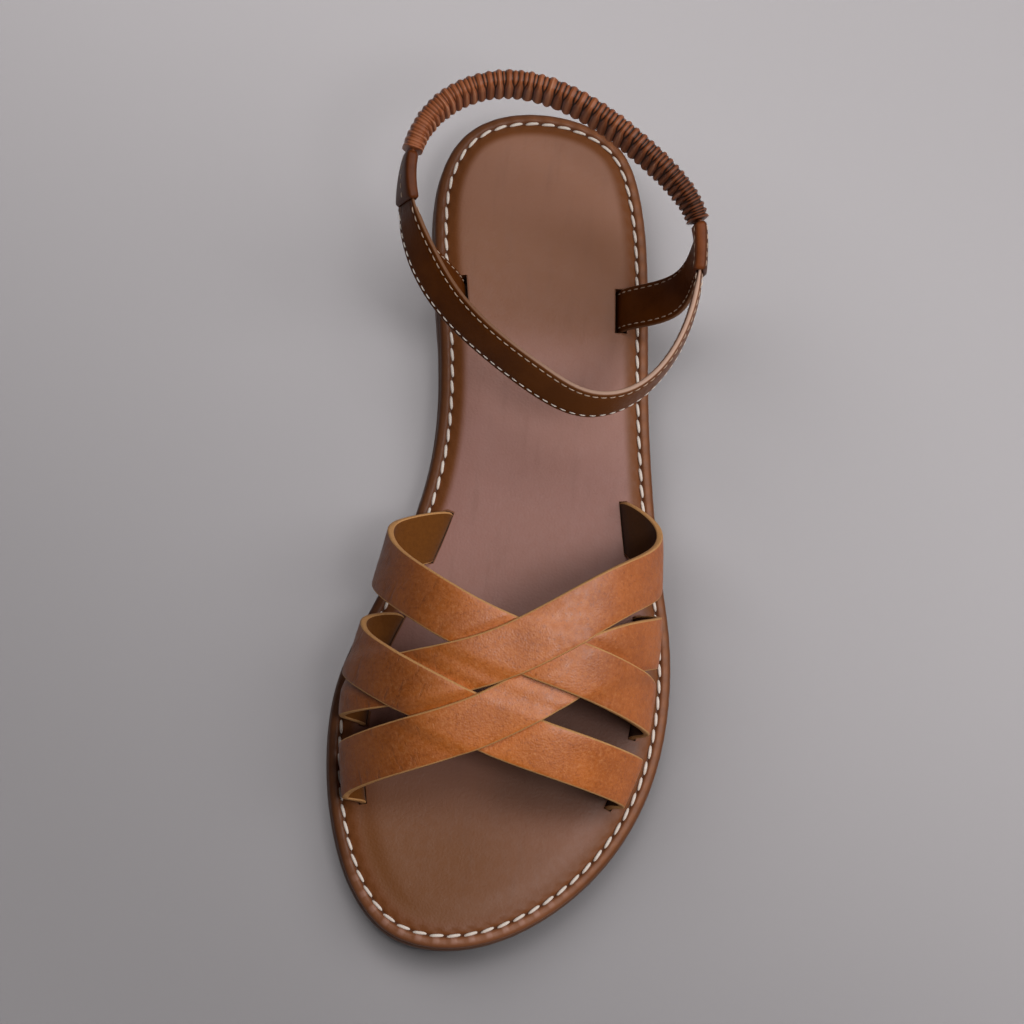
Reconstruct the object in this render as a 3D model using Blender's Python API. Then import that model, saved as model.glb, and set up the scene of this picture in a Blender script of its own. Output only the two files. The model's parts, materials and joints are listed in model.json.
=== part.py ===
"""A flat leather strap sandal for the left foot.

Toe towards -Y, heel towards +Y, big-toe side -X, floor at Z = 0. Sizes are in millimetres
and the finished meshes are scaled to metres.
"""
import math

import bmesh
import bpy
import numpy as np

MM = 0.001
CLEARANCE = 0.3
SLOT_PLAY = 0.4
WELD = 0.03

# Sole: length, stations along each side, and how far its pieces stand in from the edge
SOLE_LENGTH = 250.0
SIDE_STATIONS = 46
FOOTBED_THICKNESS = 3.5
SLOT_INSET = 9.8

# Straps of the upper
STRAP_WIDTH = 14.6
STRAP_THICKNESS = 1.8
STRAP_FUSION = 0.5
STRAP_STEPS = 46
STRAP_COLUMNS = 3
STRAP_EASE = 3.5

# Ankle ring: front strap, gathered back and the loops that hold both
ANKLE_WIDTH = 11.6
ANKLE_THICKNESS = 2.2
BACK_HEIGHT = 12.8
BACK_THICKNESS = 5.4
GATHERS = 44
GATHER_DEPTH = 0.55
LOOP_LENGTH = 14.0
LOOP_WALL = 1.0
LOOP_CORE_HEIGHT = 10.0
LOOP_CORE_THICKNESS = 1.3
STRAP_SWELL = 5.0
BACK_SWELL = 0.8
TAB_WIDTH = 13.0
TAB_THICKNESS = 2.2

# Outline of the sole, a row per section: distance from the toe, then each edge from the
# line that joins toe tip and heel tip
OUTLINE = np.array([
    (3.0, -16.0, 12.5),
    (12.0, -25.6, 28.0),
    (30.0, -34.1, 44.7),
    (52.0, -38.5, 54.8),
    (75.0, -37.6, 57.9),
    (95.0, -31.0, 56.5),
    (117.0, -23.1, 51.7),
    (140.0, -18.3, 47.3),
    (162.0, -18.2, 44.1),
    (186.0, -21.4, 41.6),
    (210.0, -25.1, 39.0),
    (228.0, -24.7, 35.2),
    (241.0, -18.6, 28.9),
], dtype=[("from_toe", float), ("medial", float), ("lateral", float)])
TOE_TIP = -2.0
HEEL_TIP = 3.5

# Side profile of the outsole, a row per section: toe spring, flat forefoot, arch, low heel
PROFILE = np.array([
    (0.0, 5.2, 9.8),
    (15.0, 2.7, 7.6),
    (30.0, 0.9, 6.2),
    (46.0, 0.0, 5.5),
    (104.0, 0.0, 5.5),
    (128.0, 1.4, 6.3),
    (150.0, 3.0, 7.6),
    (174.0, 3.2, 9.2),
    (182.0, 0.0, 9.6),
    (240.0, 0.0, 10.2),
    (250.0, 0.5, 10.2),
], dtype=[("from_toe", float), ("bottom", float), ("top", float)])

# Rings of the footbed from its edge inward: inset from the sole's edge and height over the base
RIM = np.array([
    (0.7, -3.5),
    (0.5, -1.2),
    (0.8, 0.3),
    (1.8, 0.9),
    (2.9, 0.75),
    (3.7, 0.2),
    (5.2, 1.05),
    (7.2, 1.9),
    (9.5, 2.07),
    (15.5, 2.1),
], dtype=[("inset", float), ("rise", float)])

# Form of the foot under the straps, a row per section: the widest points of each side and
# the height of the top over the floor
INSTEP = np.array([
    (22.0, -29.0, 41.5, 27.0),
    (40.0, -32.2, 44.8, 32.5),
    (65.0, -35.6, 50.8, 41.5),
    (90.0, -32.0, 51.4, 48.0),
    (113.0, -27.4, 49.6, 52.0),
    (140.0, -24.5, 46.5, 55.0),
], dtype=[("from_toe", float), ("medial", float), ("lateral", float), ("crest", float)])
SHOULDER = 0.715
BULGE_SHARE = 0.42
SLOT_RUN = 0.15

# Straps, a row per strap: how far from the toe its middle lies at each place around the foot
STRAPS = np.array([
    ("rear_medial", 117.5, 108.5, 95.0, 82.5, 75.5, 72.7, 72.5),
    ("front_medial", 86.5, 81.0, 70.8, 58.9, 53.0, 51.6, 51.5),
    ("rear_lateral", 68.0, 68.4, 70.2, 80.6, 101.8, 115.0, 126.0),
    ("front_lateral", 45.8, 46.4, 51.0, 63.8, 84.5, 91.5, 93.5),
], dtype=[("name", "U16"), ("slot_medial", float), ("side_medial", float),
          ("shoulder_medial", float), ("crest", float), ("shoulder_lateral", float),
          ("side_lateral", float), ("slot_lateral", float)])
PLACES = ("slot_medial", "side_medial", "shoulder_medial", "crest",
          "shoulder_lateral", "side_lateral", "slot_lateral")
LIES_OVER = {
    "rear_lateral": "rear_medial",
    "front_medial": "rear_lateral",
    "front_lateral": "front_medial",
    "rear_medial": "front_lateral",
}

# Ankle ring, a row per station round it from the lateral loop over the front to the back:
# place of its middle, and how far its upper edge leans inward in degrees
RING = np.array([
    (49.7, 197.5, 60.0, 6.5),
    (49.8, 185.0, 58.2, 6.0),
    (46.8, 171.4, 56.6, 4.0),
    (41.3, 160.9, 55.2, 4.0),
    (32.7, 153.1, 54.2, 10.5),
    (22.6, 150.6, 54.0, 22.0),
    (8.9, 155.2, 54.6, 31.0),
    (-6.3, 164.3, 55.6, 31.0),
    (-19.2, 174.8, 56.8, 36.0),
    (-27.7, 186.4, 58.2, 36.0),
    (-32.6, 197.5, 59.8, 21.0),
    (-34.3, 207.5, 61.2, 10.0),
    (-33.2, 217.5, 63.0, 4.0),
    (-28.6, 226.5, 64.6, 0.0),
    (-19.8, 233.6, 65.8, 0.0),
    (-8.0, 236.9, 66.4, 0.0),
    (4.0, 235.6, 66.4, 0.0),
    (17.0, 230.6, 66.0, 0.0),
    (31.5, 221.6, 65.0, 0.0),
    (41.8, 213.4, 63.4, 2.0),
    (47.6, 205.8, 61.6, 4.0),
], dtype=[("across", float), ("from_toe", float), ("height", float), ("lean", float)])
LATERAL_LOOP = 0
MEDIAL_LOOP = 11

# Tabs, a row per tab: place of its slot and how far that lies in from the edge, and the point
# through which the tab swings outward
TABS = np.array([
    ("lateral", 190.8, 9.0, 46.6, 192.6, 31.5),
    ("medial", 189.3, 7.8, -28.0, 196.6, 32.0),
], dtype=[("side", "U8"), ("slot", float), ("inset", float),
          ("across", float), ("from_toe", float), ("height", float)])


def along(from_toe):
    """Y of a place given by its distance from the toe."""
    return np.asarray(from_toe, float) - SOLE_LENGTH / 2


def spline(values, params, closed=False):
    """Smooth cubic through rows of values at the given parameters, as a function."""
    rows = np.asarray(values, float)
    t = np.asarray(params, float)
    n = len(rows)
    h = np.diff(t)
    slope = np.diff(rows, axis=0) / h[:, None]
    matrix = np.zeros((n, n))
    right = np.zeros_like(rows)
    for i in range(1, n - 1):
        matrix[i, i - 1] = h[i - 1]
        matrix[i, i] = 2 * (h[i - 1] + h[i])
        matrix[i, i + 1] = h[i]
        right[i] = 6 * (slope[i] - slope[i - 1])
    if closed:
        matrix[0, 0] = 1.0
        matrix[0, -1] = -1.0
        matrix[-1, 0] = 2 * h[0]
        matrix[-1, 1] = h[0]
        matrix[-1, -1] = 2 * h[-1]
        matrix[-1, -2] = h[-1]
        right[-1] = 6 * (slope[0] - slope[-1])
    else:
        matrix[0, 0] = 1.0
        matrix[-1, -1] = 1.0
    bend = np.linalg.solve(matrix, right)

    def at(u):
        u = np.asarray(u, float)
        k = np.clip(np.searchsorted(t, u, side="right") - 1, 0, n - 2)
        w = h[k][..., None]
        a = (t[k + 1] - u)[..., None]
        b = (u - t[k])[..., None]
        cubic = (bend[k] * a ** 3 + bend[k + 1] * b ** 3) / (6 * w)
        line = (rows[k] / w - bend[k] * w / 6) * a + (rows[k + 1] / w - bend[k + 1] * w / 6) * b
        return cubic + line

    return at


def by_row(xs, values, x):
    """Interpolate between rows with no overshoot: level where two rows are equal."""
    xs = np.asarray(xs, float)
    v = np.asarray(values, float)
    x = np.clip(np.asarray(x, float), xs[0], xs[-1])
    h = np.diff(xs)
    d = np.diff(v) / h
    m = np.zeros(len(v))
    m[0] = d[0]
    m[-1] = d[-1]
    for i in range(1, len(v) - 1):
        if d[i - 1] * d[i] > 0:
            a = 2 * h[i] + h[i - 1]
            b = h[i] + 2 * h[i - 1]
            m[i] = (a + b) / (a / d[i - 1] + b / d[i])
    k = np.clip(np.searchsorted(xs, x, side="right") - 1, 0, len(xs) - 2)
    s = (x - xs[k]) / h[k]
    start = (1 + 2 * s) * (1 - s) ** 2 * v[k] + s * (1 - s) ** 2 * h[k] * m[k]
    end = s * s * (3 - 2 * s) * v[k + 1] + s * s * (s - 1) * h[k] * m[k + 1]
    return start + end


def chords(points):
    """Distance along a row of points, from 0."""
    steps = np.linalg.norm(np.diff(points, axis=0), axis=1)
    return np.concatenate([[0.0], np.cumsum(steps)])


def sole_outline():
    """Edge of the sole as equal numbers of points down each side, toe first."""
    y = along(OUTLINE["from_toe"])
    lateral = np.column_stack([OUTLINE["lateral"], y])
    medial = np.column_stack([OUTLINE["medial"], y])
    toe = np.array([[TOE_TIP, -SOLE_LENGTH / 2]])
    heel = np.array([[HEEL_TIP, SOLE_LENGTH / 2]])
    knots = np.vstack([toe, lateral, heel, medial[::-1], toe])
    t = chords(knots)
    curve = spline(knots, t, closed=True)
    turn = len(lateral) + 1
    share = np.linspace(0.0, 1.0, SIDE_STATIONS + 1)
    share = share - 0.06 * np.sin(2 * math.pi * share)
    down = curve(t[turn] * share)
    back = curve(t[turn] + (t[-1] - t[turn]) * share)
    return np.vstack([down[:-1], back[:-1]])


EDGE = sole_outline()
EDGE_COUNT = len(EDGE)


def edge_normals():
    """Unit vectors that point out of the sole at each point of its edge."""
    step = np.roll(EDGE, -1, axis=0) - np.roll(EDGE, 1, axis=0)
    step = step / np.linalg.norm(step, axis=1)[:, None]
    return np.column_stack([step[:, 1], -step[:, 0]])


EDGE_OUT = edge_normals()


def ring_inset(inset):
    """Edge of the sole moved inward."""
    return EDGE - EDGE_OUT * inset


def edge_x(y, side):
    """X of the sole's edge on one side at the given Y."""
    half = SIDE_STATIONS
    if side == "lateral":
        pts = EDGE[:half + 1]
    else:
        pts = np.vstack([EDGE[half:], EDGE[:1]])
    order = np.argsort(pts[:, 1])
    return np.interp(y, pts[order, 1], pts[order, 0])


def sole_bottom(y):
    """Height of the underside at each Y."""
    return by_row(along(PROFILE["from_toe"]), PROFILE["bottom"], y)


def sole_top(y):
    """Height of the outsole's upper face at each Y."""
    return by_row(along(PROFILE["from_toe"]), PROFILE["top"], y)


def footbed_base(y):
    """Height from which the rings of the footbed are measured at each Y."""
    return sole_top(y) + CLEARANCE + FOOTBED_THICKNESS


def fill_across(ring):
    """Faces that span a closed ring from side to side, toe first."""
    half = SIDE_STATIONS
    other = [(EDGE_COUNT - i) % EDGE_COUNT for i in range(EDGE_COUNT)]
    faces = [(ring[0], ring[1], ring[other[1]])]
    for i in range(1, half - 1):
        faces.append((ring[i], ring[i + 1], ring[other[i + 1]], ring[other[i]]))
    faces.append((ring[half - 1], ring[half], ring[other[half - 1]]))
    return faces


def stacked_rings(rings):
    """Closed solid from edge rings, the first and last spanned from side to side."""
    points = np.vstack(rings)
    n = EDGE_COUNT
    faces = []
    for k in range(len(rings) - 1):
        for i in range(n):
            j = (i + 1) % n
            faces.append((k * n + i, k * n + j, (k + 1) * n + j, (k + 1) * n + i))
    bottom = list(range(n))
    top = list(range((len(rings) - 1) * n, len(rings) * n))
    faces += [tuple(reversed(f)) for f in fill_across(bottom)]
    faces += fill_across(top)
    return points, faces


def lofted(sections, closed=False):
    """Closed solid through sections of equal point count, ends capped unless it is a loop."""
    sections = np.asarray(sections, float)
    rows, n = sections.shape[:2]
    points = sections.reshape(-1, 3)
    faces = []
    for r in range(rows if closed else rows - 1):
        s = (r + 1) % rows
        for i in range(n):
            j = (i + 1) % n
            faces.append((r * n + i, r * n + j, s * n + j, s * n + i))
    if not closed:
        faces.append(tuple(range(n - 1, -1, -1)))
        faces.append(tuple((rows - 1) * n + i for i in range(n)))
    return points, faces


def material(name, colour, roughness):
    """Plain surface of one colour."""
    mat = bpy.data.materials.new(name)
    mat.use_nodes = True
    shader = mat.node_tree.nodes["Principled BSDF"]
    shader.inputs["Base Color"].default_value = (*colour, 1.0)
    shader.inputs["Roughness"].default_value = roughness
    shader.inputs["Metallic"].default_value = 0.0
    return mat


def mesh_object(name, points, faces, mat=None):
    """Object from points in millimetres, its faces turned outward."""
    mesh = bpy.data.meshes.new(name)
    mesh.from_pydata((np.asarray(points, float) * MM).tolist(), [], faces)
    mesh.update()
    corners = np.array([v.co for v in mesh.vertices])
    mesh.calc_loop_triangles()
    tris = np.array([t.vertices[:] for t in mesh.loop_triangles])
    a, b, c = corners[tris[:, 0]], corners[tris[:, 1]], corners[tris[:, 2]]
    if np.sum(np.cross(a, b) * c) < 0:
        mesh.flip_normals()
    obj = bpy.data.objects.new(name, mesh)
    bpy.context.scene.collection.objects.link(obj)
    if mat is not None:
        mesh.materials.append(mat)
    return obj


def combine(target, others, operation):
    """Join or cut the target with other solids and keep the result as its mesh."""
    for k, other in enumerate(others):
        step = target.modifiers.new(f"{operation.lower()} {k}", "BOOLEAN")
        step.operation = operation
        step.solver = "EXACT"
        step.object = other
    graph = bpy.context.evaluated_depsgraph_get()
    result = bpy.data.meshes.new_from_object(target.evaluated_get(graph))
    target.modifiers.clear()
    shape = bmesh.new()
    shape.from_mesh(result)
    bmesh.ops.remove_doubles(shape, verts=shape.verts, dist=WELD * MM)
    bmesh.ops.dissolve_degenerate(shape, dist=WELD * MM, edges=shape.edges)
    bmesh.ops.triangulate(shape, faces=shape.faces)
    shape.to_mesh(result)
    shape.free()
    target.data = result
    for other in others:
        bpy.data.objects.remove(other)
    return target


# The common surface on which the straps lie: eleven places round the foot in each section
TURNS = np.array([0.0, 5.0, 8.5, 22.0, 39.0, 70.0, 101.0, 118.0, 131.5, 135.0, 140.0]) / 140.0
CARDINAL = spline(np.eye(len(TURNS)), TURNS)


def around_foot(turn, y):
    """Point of the foot's form: turn 0 is below the medial slot, 1 below the lateral slot."""
    turn = np.asarray(turn, float)
    y = np.asarray(y, float)
    rows = along(INSTEP["from_toe"])
    bulge_m = by_row(rows, INSTEP["medial"], y)
    bulge_l = by_row(rows, INSTEP["lateral"], y)
    crest = by_row(rows, INSTEP["crest"], y)
    slot_m = edge_x(y, "medial") + SLOT_INSET
    slot_l = edge_x(y, "lateral") - SLOT_INSET
    ground = sole_top(y)
    mid = (bulge_m + bulge_l) / 2
    half = (bulge_l - bulge_m) / 2
    bulge_z = ground + (crest - ground) * BULGE_SHARE
    shoulder_z = bulge_z + (crest - bulge_z) * SHOULDER
    xs = np.stack([slot_m, slot_m, slot_m - 0.4, bulge_m, mid - half * SHOULDER, mid,
                   mid + half * SHOULDER, bulge_l, slot_l + 0.4, slot_l, slot_l], axis=-1)
    zs = np.stack([ground - 2.0, ground + 3.0, ground + 6.5, bulge_z, shoulder_z, crest,
                   shoulder_z, bulge_z, ground + 6.5, ground + 3.0, ground - 2.0], axis=-1)
    weight = CARDINAL(turn)
    return np.stack([np.sum(weight * xs, -1), y, np.sum(weight * zs, -1)], axis=-1)


def surface_frame(turn, y):
    """Point, outward normal and the two tangents of the foot's form."""
    e = 1e-3
    p = around_foot(turn, y)
    by_turn = (around_foot(turn + e, y) - around_foot(turn - e, y)) / (2 * e)
    by_y = (around_foot(turn, y + 0.1) - around_foot(turn, y - 0.1)) / 0.2
    normal = np.cross(by_y, by_turn)
    normal = -normal / np.linalg.norm(normal, axis=-1)[..., None]
    return p, normal, by_turn, by_y


def strap_paths():
    """For each strap its Y as a function of the turn round the foot."""
    stations = TURNS[[0, 2, 3, 4, 5, 6, 7, 8, 10]]
    paths = {}
    for row in STRAPS:
        v = [row[p] for p in PLACES]
        ends = (v[0] + (v[0] - v[1]) * SLOT_RUN, v[6] + (v[6] - v[5]) * SLOT_RUN)
        ys = along([ends[0], *v, ends[1]])
        curve = spline(np.asarray(ys)[:, None], stations)
        paths[str(row["name"])] = curve
    return paths


PATHS = strap_paths()


def inside_strap(name, turn, y):
    """How far a point lies inside the edges of a strap, negative outside."""
    middle = PATHS[name](turn)[..., 0]
    e = 1e-3
    rate = (PATHS[name](turn + e)[..., 0] - PATHS[name](turn - e)[..., 0]) / (2 * e)
    p, normal, by_turn, by_y = surface_frame(turn, middle)
    reach = np.linalg.norm(by_turn, axis=-1)
    return STRAP_WIDTH / 2 - np.abs(y - middle) / np.sqrt(1 + (rate / reach) ** 2)


def soft_step(x):
    """Smooth change from 0 to 1."""
    x = np.clip(x, 0.0, 1.0)
    return x * x * (3 - 2 * x)


def weave_height(name, turn, y):
    """Height of a strap over the common surface: up where it lies over, down where under."""
    below = LIES_OVER[name]
    above = [k for k, v in LIES_OVER.items() if v == name][0]
    lift = soft_step((inside_strap(below, turn, y) + STRAP_EASE) / (STRAP_EASE + 1.0))
    sink = soft_step((inside_strap(above, turn, y) + STRAP_EASE) / (STRAP_EASE + 1.0))
    return (STRAP_THICKNESS - STRAP_FUSION) / 2 * (lift - sink)


def strap_band(name, turns, width, thickness, columns, woven):
    """Closed band along a strap's path on the foot's form."""
    e = 1e-3
    y = PATHS[name](turns)[..., 0]
    rate = (PATHS[name](turns + e)[..., 0] - PATHS[name](turns - e)[..., 0]) / (2 * e)
    p, normal, by_turn, by_y = surface_frame(turns, y)
    run = by_turn + by_y * rate[:, None]
    run = run / np.linalg.norm(run, axis=-1)[:, None]
    side = np.cross(normal, run)
    tt = np.sum(by_turn * by_turn, -1)
    ty = np.sum(by_turn * by_y, -1)
    yy = np.sum(by_y * by_y, -1)
    st = np.sum(side * by_turn, -1)
    sy = np.sum(side * by_y, -1)
    det = tt * yy - ty * ty
    square = soft_step((np.minimum(turns, 1 - turns) * 140.0 - 10.0) / 26.0)
    d_turn = (st * yy - sy * ty) / det * square
    d_y = (1.0 - d_turn * st) / sy
    upper = []
    lower = []
    for c in np.linspace(-width / 2, width / 2, columns + 1):
        t_c = turns + d_turn * c
        y_c = y + d_y * c
        q, n, _, _ = surface_frame(t_c, y_c)
        rise = weave_height(name, t_c, y_c)[:, None] if woven else 0.0
        upper.append(q + n * (rise + thickness / 2))
        lower.append(q + n * (rise - thickness / 2))
    loop = upper + lower[::-1]
    return np.stack(loop, axis=1)


END_TURN = 2.35 / 140.0


def woven_upper(mat):
    """The four straps, joined where they cross."""
    bands = []
    share = np.linspace(0.0, 1.0, STRAP_STEPS + 1)
    turns = END_TURN + (1 - 2 * END_TURN) * share
    for row in STRAPS:
        name = str(row["name"])
        band = strap_band(name, turns, STRAP_WIDTH, STRAP_THICKNESS, STRAP_COLUMNS, True)
        points, faces = lofted(band)
        bands.append(mesh_object("strap " + name, points, faces))
    first = bands[0]
    first.name = "upper_woven_straps"
    combine(first, bands[1:], "UNION")
    first.data.materials.clear()
    first.data.materials.append(mat)
    return first


def outsole(mat):
    """Rubber sole with rounded lower edge, arch, low heel and toe spring."""
    rings = []
    for inset, side, rise in ((2.0, "bottom", 0.0), (0.5, "bottom", 0.7), (0.0, "bottom", 2.2),
                              (0.0, "top", -1.4), (0.5, "top", 0.0)):
        xy = ring_inset(inset)
        y = xy[:, 1]
        z = (sole_bottom(y) if side == "bottom" else sole_top(y)) + rise
        rings.append(np.column_stack([xy, z]))
    points, faces = stacked_rings(rings)
    return mesh_object("outsole", points, faces, mat)


def strap_slots():
    """Cutters for the eight slots of the straps."""
    cutters = []
    for row in STRAPS:
        name = str(row["name"])
        for lo, hi in ((0.0, 11.0 / 140.0), (1 - 11.0 / 140.0, 1.0)):
            turns = np.linspace(lo, hi, 8)
            band = strap_band(name, turns, STRAP_WIDTH + 2 * SLOT_PLAY,
                              STRAP_THICKNESS + 2 * SLOT_PLAY, STRAP_COLUMNS, False)
            points, faces = lofted(band)
            cutters.append(mesh_object("slot " + name, points, faces))
    return cutters


def ring_curve():
    """Middle line of the ankle ring with its lean, as a function of a share round it."""
    rows = np.column_stack([RING["across"], along(RING["from_toe"]), RING["height"], RING["lean"]])
    rows = np.vstack([rows, rows[:1]])
    t = chords(rows[:, :3])
    return spline(rows, t, closed=True), t


RING_AT, RING_T = ring_curve()
RING_LENGTH = RING_T[-1]
RING_MIDDLE = np.column_stack([RING["across"], along(RING["from_toe"]), RING["height"]]).mean(0)


def ring_frame(s):
    """Point of the ring, its run, its leaning up direction and its outward direction."""
    s = np.asarray(s, float) % RING_LENGTH
    e = 0.05
    rows = RING_AT(s)
    ahead = RING_AT((s + e) % RING_LENGTH)[..., :3]
    behind = RING_AT((s - e) % RING_LENGTH)[..., :3]
    run = ahead - behind
    run = run / np.linalg.norm(run, axis=-1)[..., None]
    flat_out = np.stack([-run[..., 1], run[..., 0], np.zeros_like(run[..., 0])], axis=-1)
    flat_out = flat_out / np.linalg.norm(flat_out, axis=-1)[..., None]
    from_middle = rows[..., :3] - RING_MIDDLE
    sign = np.sign(np.sum(flat_out * from_middle, -1))[..., None]
    flat_out = flat_out * sign
    lean = np.radians(rows[..., 3])[..., None]
    up = np.cross(run, flat_out)
    up = up * np.sign(up[..., 2:3])
    tilted_up = up * np.cos(lean) - flat_out * np.sin(lean)
    tilted_out = flat_out * np.cos(lean) + up * np.sin(lean)
    return rows[..., :3], run, tilted_up, tilted_out


def oval(height, thickness, count, power):
    """Rounded box outline in the plane across a strap: up and out coordinates."""
    a = np.arange(count) * 2 * math.pi / count + math.pi / count
    c = np.cos(a)
    s = np.sin(a)
    up = np.sign(s) * np.abs(s) ** power * height / 2
    out = np.sign(c) * np.abs(c) ** power * thickness / 2
    return up, out


def ring_sections(stations, heights, thicknesses, count, power):
    """Sections across the ankle ring at the stations."""
    p, run, up, out = ring_frame(stations)
    sections = []
    for k in range(len(stations)):
        u, o = oval(heights[k], thicknesses[k], count, power)
        sections.append(p[k] + u[:, None] * up[k] + o[:, None] * out[k])
    return np.array(sections)


LOOP_MOUTH = LOOP_LENGTH / 2
STRAP_MOUTH = LOOP_MOUTH + 0.6


def ring_size(stations, start, end, core, full, mouth, swell):
    """Size along one half of the ring: the loop's core at both ends, full between."""
    reach = np.minimum(stations - start, end - stations)
    return core + (full - core) * soft_step((reach - mouth) / swell)


def ankle_strap(mat):
    """Flat strap over the front of the ankle, from loop to loop."""
    start = RING_T[LATERAL_LOOP] + CLEARANCE
    end = RING_T[MEDIAL_LOOP] - CLEARANCE
    s = np.linspace(start, end, 62)
    heights = ring_size(s, start, end, LOOP_CORE_HEIGHT, ANKLE_WIDTH, STRAP_MOUTH, STRAP_SWELL)
    thick = ring_size(s, start, end, LOOP_CORE_THICKNESS, ANKLE_THICKNESS, STRAP_MOUTH, STRAP_SWELL)
    points, faces = lofted(ring_sections(s, heights, thick, 8, 0.35))
    return mesh_object("ankle_strap", points, faces, mat)


def elastic_back(mat):
    """Gathered tube behind the heel, its folds as raised ridges, from loop to loop."""
    start = RING_T[MEDIAL_LOOP] + CLEARANCE
    end = RING_LENGTH - CLEARANCE
    full = LOOP_MOUTH + BACK_SWELL
    share = np.linspace(0.0, 1.0, 2 * GATHERS + 1)
    spread = share - 0.07 * np.sin(2 * math.pi * share) / (2 * math.pi) * 4
    middle = start + full + (end - start - 2 * full) * spread
    sleeve = np.array([0.0, LOOP_MOUTH / 2, LOOP_MOUTH, LOOP_MOUTH + BACK_SWELL / 2])
    s = np.concatenate([start + sleeve, middle, end - sleeve[::-1]])
    fold = np.zeros(len(s))
    fold[4:-4] = np.where(np.arange(2 * GATHERS + 1) % 2 == 1, 1.0, -1.0)
    ease = soft_step(np.minimum(s - start - full, end - full - s) / BACK_SWELL)
    heights = ring_size(s, start, end, LOOP_CORE_HEIGHT, BACK_HEIGHT, LOOP_MOUTH, BACK_SWELL)
    heights = heights + fold * ease * GATHER_DEPTH * 0.6
    thick = ring_size(s, start, end, LOOP_CORE_THICKNESS, BACK_THICKNESS, LOOP_MOUTH, BACK_SWELL)
    thick = thick + fold * ease * GATHER_DEPTH
    points, faces = lofted(ring_sections(s, heights, thick, 8, 0.6))
    return mesh_object("elastic_back", points, faces, mat)


def tab_path(side, loop):
    """Middle line of a tab from its slot to the underside of its loop, with its width direction."""
    row = TABS[TABS["side"] == side][0]
    y_slot = float(along(row["slot"]))
    sign = 1.0 if side == "lateral" else -1.0
    x_slot = float(edge_x(y_slot, side)) - sign * float(row["inset"])
    slope = float(edge_x(y_slot + 5.0, side) - edge_x(y_slot - 5.0, side)) / 10.0
    ground = float(sole_top(y_slot))
    slot_run = np.array([slope, 1.0, 0.0]) / math.hypot(slope, 1.0)
    p, run, up, out = ring_frame(np.array([RING_T[loop]]))
    run = run[0] * np.sign(run[0][1])
    low = p[0] - up[0] * (LOOP_CORE_HEIGHT / 2 + CLEARANCE + LOOP_WALL * 0.6)
    foot = np.array([x_slot, y_slot, ground - 2.0])
    mouth = np.array([x_slot + sign * 0.4, y_slot, ground + 5.0])
    swing = np.array([row["across"], along(row["from_toe"]), row["height"]])
    rise = low - swing
    neck = low - (up[0] + rise / np.linalg.norm(rise)) * 2.5
    knots = np.array([foot, mouth, swing, neck, low])
    t = chords(knots)
    curve = spline(knots, t)
    line = curve(np.concatenate([[0.0], np.linspace(t[1] - 2.5, t[-1], 15)]))
    turn = np.concatenate([[0.0], soft_step(np.linspace(0.0, 1.0, 15))])[:, None]
    wide = slot_run * (1 - turn) + run * turn
    return line, wide


def tab_band(line, wide, width, thickness):
    """Flat strip along a line with the given width direction."""
    step = np.gradient(line, axis=0)
    wide = wide / np.linalg.norm(wide, axis=1)[:, None]
    face = np.cross(step, wide)
    face = face / np.linalg.norm(face, axis=1)[:, None]
    corners = []
    for w, f in ((-1, -1), (1, -1), (1, 1), (-1, 1)):
        corners.append(line + wide * (w * width / 2) + face * (f * thickness / 2))
    return np.stack(corners, axis=1)


def tab(side, loop, mat):
    """Strip from the slot up to the loop, and the loop round the ankle ring."""
    line, wide = tab_path(side, loop)
    line = line.copy()
    line[0, 2] += 2.0 + CLEARANCE
    points, faces = lofted(tab_band(line, wide, TAB_WIDTH, TAB_THICKNESS))
    strip = mesh_object("tab_" + side, points, faces)
    s = RING_T[loop] + np.linspace(-LOOP_LENGTH / 2, LOOP_LENGTH / 2, 5)
    hole_h = LOOP_CORE_HEIGHT + 2 * CLEARANCE
    hole_t = LOOP_CORE_THICKNESS + 2 * CLEARANCE
    outer = ring_sections(s, [hole_h + 2 * LOOP_WALL] * 5, [hole_t + 2 * LOOP_WALL] * 5, 12, 0.5)
    inner = ring_sections(s, [hole_h] * 5, [hole_t] * 5, 8, 0.35)
    tube_points, tube_faces = open_tube(outer, inner)
    sleeve = mesh_object("loop_" + side, tube_points, tube_faces)
    combine(strip, [sleeve], "UNION")
    strip.data.materials.clear()
    strip.data.materials.append(mat)
    return strip


def open_tube(outer, inner):
    """Sleeve between two lofted skins, its two rims closed by rings of triangles."""
    rows, n = outer.shape[:2]
    m = inner.shape[1]
    points = np.vstack([outer.reshape(-1, 3), inner.reshape(-1, 3)])
    base = rows * n
    faces = []
    for r in range(rows - 1):
        for i in range(n):
            j = (i + 1) % n
            faces.append((r * n + i, r * n + j, (r + 1) * n + j, (r + 1) * n + i))
        for i in range(m):
            j = (i + 1) % m
            faces.append((base + r * m + j, base + r * m + i,
                          base + (r + 1) * m + i, base + (r + 1) * m + j))
    for r, flip in ((0, True), (rows - 1, False)):
        i = 0
        j = 0
        while i < n or j < m:
            if j == m or (i < n and (i + 1) / n <= (j + 1) / m):
                face = (r * n + i % n, r * n + (i + 1) % n, base + r * m + j % m)
                i += 1
            else:
                face = (r * n + i % n, base + r * m + (j + 1) % m, base + r * m + j % m)
                j += 1
            faces.append(tuple(reversed(face)) if flip else face)
    return points, faces


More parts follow.
